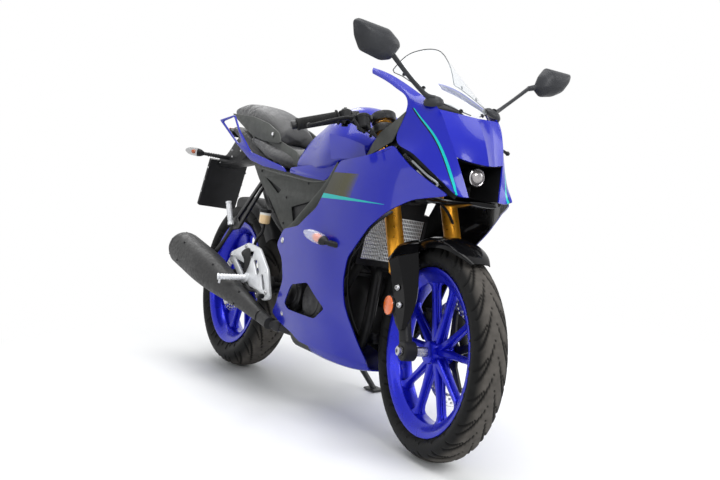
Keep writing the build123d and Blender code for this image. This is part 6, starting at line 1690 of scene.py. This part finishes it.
mirror_lines = {
    "right": [(-3.73, 11.39), (-3.6, 11.48), (-2.62, 11.39), (-2.26, 11.14), (-2.2, 10.99), (-2.43, 10.61),
        (-2.75, 10.52), (-3.42, 10.66), (-3.64, 11.01)],
    "left": [(-2.82, 11.46), (-3.8, 11.45), (-3.77, 11.21), (-3.54, 10.86), (-3.2, 10.67), (-2.76, 10.58),
        (-2.5, 10.76), (-2.62, 11.18)],
}
for side, name in SIDES:
    base, arm_line, neck = grid(12.6, side, 9.72), grid(12.45, side * 1.55, 10.1), grid(12.35, side * 2.35, 10.75)
    mirror = Stock()
    up_out = Vector((0.25, side * 0.35, 0.9)).normalized()
    mirror.bar([base + up_out * -0.006, base + up_out * 0.004, base + up_out * 0.014], [28.5, 27.5, 17], 4, 24, 0.8)
    mirror.bar([base + up_out * 0.008, base.lerp(arm_line, 0.35), arm_line, neck], [13.5, 8.5, 6.8, 7.4], 7, 16, 0.8)
    outline = rounded(mirror_lines[name], 0.09, 4) / 10
    middle = outline.mean(0)
    rings = []
    for ahead, share in ((-0.002, 0.94), (0, 0.985), (0.004, 1), (0.01, 0.97), (0.018, 0.88), (0.027, 0.72),
            (0.033, 0.5), (0.035, 0.2)):
        ring = middle + (outline - middle) * share
        rings.append([Vector((1.235 + ahead, y * -side, z)) for y, z in ring])
    mirror.closed_net(rings)
    mirror.bar([neck, neck.lerp(Vector((1.245, side * -float(middle[0]), float(middle[1]))), 0.35)], [7.4, 9], 3, 14)
    settle("mirror_head_" + name, mirror, moulded_plastic("mirror_shell_" + name, (0.03, 0.031, 0.034), 0.36, 1200),
        "mirror_" + name, 40, slot="mirror_grey")
    glass = [middle + (outline - middle) * share for share in (0.9, 0.02)]
    rings = [[Vector((1.2322 - 0.0004 * i, y * -side, z)) for y, z in ring] for i, ring in enumerate(glass)]
    settle("mirror_glass_" + name, Stock().net(rings, True), mirror_glass, (), 60)

    signal("signal_", name, "front_signals" if side < 0 else (),
        sided(side, (10.15, 1.92, 5.4), (9.85, 2.18, 5.44), (8.5, 2.28, 5.66)), [], (0.5, LEFT * side * 0.004),
        [8.5, 6.8, 7.5], 9, 0.12, lens_clear, ((-4, 12, 20), [8.5, 15, 16.6]),
        ((20, 40, 75, 105, 130), [16.6, 18.6, 18.6, 14.5, 4.5]), ((30, 52, 70), [9.5, 13.5, 8]))
    signal("rear_signal_", name, "rear_signals" if side < 0 else (),
        sided(side, (-2.8, 0.7, 7.88), (-3.05, 1.4, 7.9), (-3.4, 2.05, 7.94)), [grid(-2.75, side * 0.3, 7.86)],
        (0.6, Vector()), [8.5, 8.5, 6.8, 7.5], 9.2, 0.15, lamp_pane, ((-4, 8, 24), [8, 15.5, 19]),
        ((24, 44, 60, 72), [18.8, 18.8, 14.5, 4.5]), ((32, 42, 48), [6.5, 8, 4]))

holder = Stock()
plate(holder, metres([(-0.8, 8.5), (-2, 8.75), (-3, 8.05), (-3.9, 7.75), (-4, 7.5), (-3.1, 7.6), (-1, 8)]), -41, 41,
    (), 6, 3)
plate(holder, metres([(-3.55, 7.75), (-3.75, 7.8), (-4.45, 5.85), (-4.25, 5.8)]), -84, 84, (), 6, 0)
face_run = Vector((-0.7, 0, -1.95)).normalized()
for side in (-1, 1):
    holder.block(grid(-4.06, side * 0.66, 6.75), (12, 30, 190), ((face_run.z, 0, -face_run.x), LEFT, -face_run), 0.3)
lamp = Stock().block(grid(-4.02, 0, 7.42), (18, 50, 12), ((1, 0, 0), LEFT, (0, 0, 1)), 0.3)
settle("holder_shell", holder, satin_black, "plate_holder", 40)
settle("plate_lamp", lamp, lens_clear)
bolts = Stock()
for side in (-1, 1):
    screw_row(bolts, side, 0.41, [(-1.3, 8.3), (-1.9, 8.45), (-2.5, 8.2), (-3.05, 7.85), (-3.6, 7.68), (-2.4, 7.95),
        (-1.6, 8.2)], 4.2, 2.5)
for z in (7.2, 6.9, 6.6, 6.3, 6.05):
    x = -3.78 - (7.8 - z) * 0.36
    for side in (-1, 1):
        screw(bolts, grid(x, side * 0.5, z), (-0.94, 0, 0.34), 3.8, 2)
for side in (-1, 1):
    screw_row(bolts, side, 0.845, [(-3.72, 7.4), (-3.95, 6.9), (-4.12, 6.4)], 4.2, 2.5)
settle("holder_bolts", bolts, steel)

tail_line = metres([(-2.7, 9), (-3.1, 9.15), (-3.15, 8.95), (-2.8, 8.8)])
lamp_body = plate(Stock(), tail_line, -44.5, 44.5, (), 4)
settle("tail_lamp_lens", lamp_body, red_lens, "tail_lamp")
frame_line = metres([(-2.6, 8.98), (-2.95, 9.12), (-3, 8.92), (-2.7, 8.76)])
settle("tail_lamp_case", plate(Stock(), frame_line, -46.5, 46.5, (), 2), satin_black, slot="lamp_red")
studs = Stock()
for row in (-0.03, -0.01, 0.01, 0.03):
    studs.lathed([(6, 0), (5.5, 2), (3, 3), (0, 3.2)], (-0.3115, row, 0.9055), (-0.97, 0, -0.24), 16)
settle("tail_lamp_diodes", studs, red_lens)

# Foot rests, rear guards
rest_line = rounded(metres([(2.54, 4.76), (2.76, 4.82), (3.72, 4.72), (4.63, 4.05), (5.1, 3.13), (4.57, 2.99),
    (3.7, 3.31), (2.59, 3.36), (1.28, 4.14), (1.29, 4.34)]), 0.014)
rest_gap = rounded(metres([(1.78, 4.16), (3, 4.02), (2.75, 3.56)]), 0.008)
for side, name in SIDES:
    holes = [rest_gap] + [rounded(metres(hole), 0.006) for hole in (
        [(3.35, 4.25), (3.62, 4.3), (3.95, 3.9), (3.8, 3.75)], [(4.12, 3.85), (4.3, 3.86), (4.6, 3.38), (4.4, 3.35)],
        [(2.75, 4.5), (3.3, 4.55), (3.2, 4.3)])]
    casting = plate(Stock(), rest_line, side * 132.5, side * 143.5, holes, 3)
    casting.lathed([(0, 0), (17, 0), (17, 12), (14, 14), (0, 14)], grid(3.1, side * 1.4, 3.6), LEFT * side, 24)
    bolts = Stock()
    screw_row(bolts, side, 1.44, [(2.62, 4.68), (4.78, 3.3), (1.45, 4.24)], 6.5, 5)
    peg = Stock()
    a, b = grid(3.1, side * 1.5, 3.6), grid(2.7, side * 2.4, 3.5)
    run = (b - a).normalized()
    length = (b - a).length
    profile = ribbed(length, [(0.009, 0), (0.011, 0.002)], 9, 0.006, 0.014,
        [(0.0108, 0), (0.0108, 0.006), (0.0092, 0.0068), (0.0092, 0.0082)],
        [(0.011, -0.006), (0.0122, -0.002), (0.0115, 0.001), (0, 0.001)])
    peg.turned(profile, a, run, 24)
    peg.lathed([(3, 0), (4, 1), (4.2, 22), (3, 24), (0, 24)], b - run * 0.01, (0.1, side * 0.1, -1), 12)
    pedal = Stock()
    pedal.bar(sided(side, (3.1, 1.48, 3.42), (3.5, 1.46, 3.22), (3.9, 1.44, 3.26), (4.5, 1.55, 3.15),
        (5.05, 1.76, 3.19)), [7, 6.2, 5.5, 5.5, 6], 6, 12, 0.7)
    pedal.lathed([(0, -12), (7.5, -12), (8.5, -10), (8.5, 12), (7.5, 14), (0, 14)], grid(5.1, side * 1.78, 3.2),
        LEFT * side, 20)
    heel = plate(Stock(), metres([(2.75, 3.6), (2.95, 3.85), (3.15, 4.3), (2.98, 4.62), (2.66, 4.6), (2.3, 4.4),
        (2.6, 4.2), (2.72, 3.95)]), side * 144.5, side * 146.2, [], 0.8, 3)
    settle("rest_casting_" + name, casting, cast_silver, "foot_rest_" + name, 40)
    settle("rest_bolts_" + name, bolts, steel)
    settle("rest_peg_" + name, peg, cast_silver)
    settle("rest_pedal_" + name, pedal, frame_black, (), 50, slot="cast_silver")
    settle("heel_guard_" + name, heel, satin_black, (), 50, slot="cast_silver")
    hanger = plate(Stock(), metres([(2.4, 7.2), (2.9, 7.2), (0.9, 5.2), (0.3, 5.1), (0.2, 5.5), (0.6, 5.7)]),
        side * 100.5, side * 111.5, [metres([(2.35, 6.98), (2.5, 6.95), (0.85, 5.42), (0.72, 5.58)])], 3, 0)
    settle("pillion_hanger_" + name, hanger, frame_black, "pillion_rests" if side < 0 else (), 40)
    peg = Stock()
    a, b = grid(0.42, side * 1.22, 5.3), grid(0.2, side * 1.36, 6.15)
    length = (b - a).length
    profile = ribbed(length, [(0, 0), (0.012, 0), (0.012, 0.012), (0.009, 0.014)], 7, 0.018, 0.028,
        [(0.0108, 0), (0.0108, 0.007), (0.0094, 0.0078), (0.0094, 0.01)], [(0.0115, -0.004), (0.0105, 0), (0, 0)])
    peg.turned(profile, a, b - a, 24)
    settle("pillion_peg_" + name, peg, cast_silver, (), 50)

hugger_rows = []
for x, z in ((-0.3, 6.45), (0.3, 6.46), (1, 6.4), (1.7, 6.2), (2.23, 5.94), (2.8, 5.55), (3.25, 5.12)):
    out = Vector((x, 0, z - 3.14)).normalized()
    row = []
    for share, fall in ((-1, 0.045), (-0.92, 0.012), (-0.5, 0.002), (0, 0), (0.5, 0.002), (0.92, 0.012), (1, 0.045)):
        row.append(grid(x, 0, z) + LEFT * share * 0.081 - out * fall)
    hugger_rows.append(row)
settle("rear_guard", Stock().net(sheet_of(hugger_rows, 6, 5)), satin_black, "rear_hugger", 50, 0.003)
guard = Stock()
plate(guard, metres([(0.2, 4.5), (1.2, 4.75), (3, 4.65), (3, 4.45), (1.2, 4.55), (0.3, 4.35)]), 75.5, 98.5, (), 3)
plate(guard, metres([(0.35, 4.36), (1.2, 4.55), (3, 4.45), (3.25, 3.95), (2.2, 4.05), (1.2, 4.2), (0.5, 4.1)]), 95.5,
    98.5, (), 1.2)
settle("chain_cover", guard, satin_black, "chain_guard", 40)
bolts = Stock()
for x, z in ((0.7, 4.35), (2.9, 4.2)):
    screw(bolts, grid(x, 0.985, z), LEFT, 5, 4)
settle("chain_cover_bolts", bolts, steel)

cup, lid = Stock(), Stock()
cup.lathed([(0, 0), (15, 0), (18.5, 4), (19.5, 10), (19.5, 40), (0, 40)], (0.33, -0.12, 0.557), (0, 0, 1), 32)
lid.lathed([(19.5, 0), (21.5, 0), (22, 2), (22, 11), (20, 13), (0, 13)], (0.33, -0.12, 0.596), (0, 0, 1), 32)
lid.bar([(0.33, -0.12, 0.558), (0.328, -0.121, 0.53), (0.3, -0.124, 0.5), (0.285, -0.128, 0.46),
    (0.29, -0.134, 0.43)], 5.5, 6, 12)
settle("rear_fluid_cup", cup, fluid_amber, (), 50)
settle("rear_fluid_cap", lid, satin_black, slot="grip_rubber")

# The picture
camera_data = bpy.data.cameras.new("camera")
camera_data.lens = 51.24
camera = placed("camera", camera_data)
row_shift = Vector((-0.587345, -0.180232, 0.001696))
eye = Vector((3.6199, -1.5035, 0.9051)) + row_shift
aim = Vector((0.975, 0, 0.572)) + row_shift
camera.matrix_world = aimed(eye, aim)
bpy.context.scene.camera = camera


def lit(name, place, aim_at, size, power):
    """One soft studio lamp."""
    lamp = bpy.data.lights.new(name, "AREA")
    lamp.shape = "RECTANGLE"
    lamp.size, lamp.size_y = size
    lamp.energy = power
    stand = placed(name, lamp)
    stand.matrix_world = aimed(Vector(place), Vector(aim_at))
    stand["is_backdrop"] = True


lit("key", (3.8, 0.2, 2.8), (0.3, 0, 0.6), (2, 1.4), 85)
lit("side", (0.2, -3.6, 1.6), (0, 0, 0.5), (2.6, 1.2), 16)
lit("overhead", (0.2, -0.2, 3.6), (0.1, 0, 0.4), (3.4, 1.6), 85)
lit("fill", (1.5, 3.4, 2), (0, 0, 0.5), (2.4, 1.8), 35)
lit("rear", (-3, 0.6, 3), (0, 0, 0.6), (1.8, 1.6), 30)


def seen_by(tree):
    """1 for a ray from the camera, a reflection or a clear pane."""
    path = tree.nodes.new("ShaderNodeLightPath")
    camera_ray, glossy_ray, through_ray = (
        Value(tree, path.outputs["Is " + kind + " Ray"]) for kind in ("Camera", "Glossy", "Transmission"))
    return camera_ray.maths("MAXIMUM", camera_ray, glossy_ray.maths("MAXIMUM", glossy_ray, through_ray))


world = bpy.data.worlds.new("studio")
bpy.context.scene.world = world
studio = Nodes(world)
dim = studio.add("ShaderNodeBackground", {}, {"Color": (0.9, 0.95, 1, 1), "Strength": 0.38})
bright = studio.add("ShaderNodeBackground", {}, {"Color": (1, 1, 1, 1), "Strength": 1})
mixed = studio.add("ShaderNodeMixShader", {}, {0: seen_by(studio), 1: dim, 2: bright})
studio.links.new(mixed.socket, studio.nodes.new("ShaderNodeOutputWorld").inputs["Surface"])

floor_paint = Finish("studio_floor", (0.93, 0.93, 0.93), 0.5)
place = floor_paint.place()
floor_paint.put("Roughness", floor_paint.between(floor_paint.noise(place, 8), 0.3, 0.7, 0.42, 0.58))
fx, fy = floor_paint.axes(place)[:2]
far_off = floor_paint.between((fx * fx + fy * fy) ** 0.5, 0.75, 1.7)
glow = floor_paint.add("ShaderNodeEmission", {}, {"Color": (1, 1, 1, 1), "Strength": 1}, "Emission")
matt = Value(floor_paint, floor_paint.shader.outputs[0])
floor_mix = floor_paint.add("ShaderNodeMixShader", {}, {0: far_off * seen_by(floor_paint), 1: matt, 2: glow})
floor_output = next(node for node in floor_paint.nodes if node.type == "OUTPUT_MATERIAL")
floor_paint.links.new(floor_mix.socket, floor_output.inputs["Surface"])
floor_mesh = bpy.data.meshes.new("floor")
FLOOR_RADIUS, FLOOR_SIDES = 9, 48
rings = [(0, 0, 0)] + [
    (FLOOR_RADIUS * math.cos(turn), FLOOR_RADIUS * math.sin(turn), 0) for turn in circuit(FLOOR_SIDES)]
floor_mesh.from_pydata(rings, [], [(0, 1 + i, 1 + (i + 1) % FLOOR_SIDES) for i in range(FLOOR_SIDES)])
floor_mesh.materials.append(floor_paint.material)
floor = placed("floor", floor_mesh)
floor.location.z = -0.0005
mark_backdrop(floor, camera)

bpy.context.scene.view_settings.view_transform = "Standard"
low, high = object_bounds()
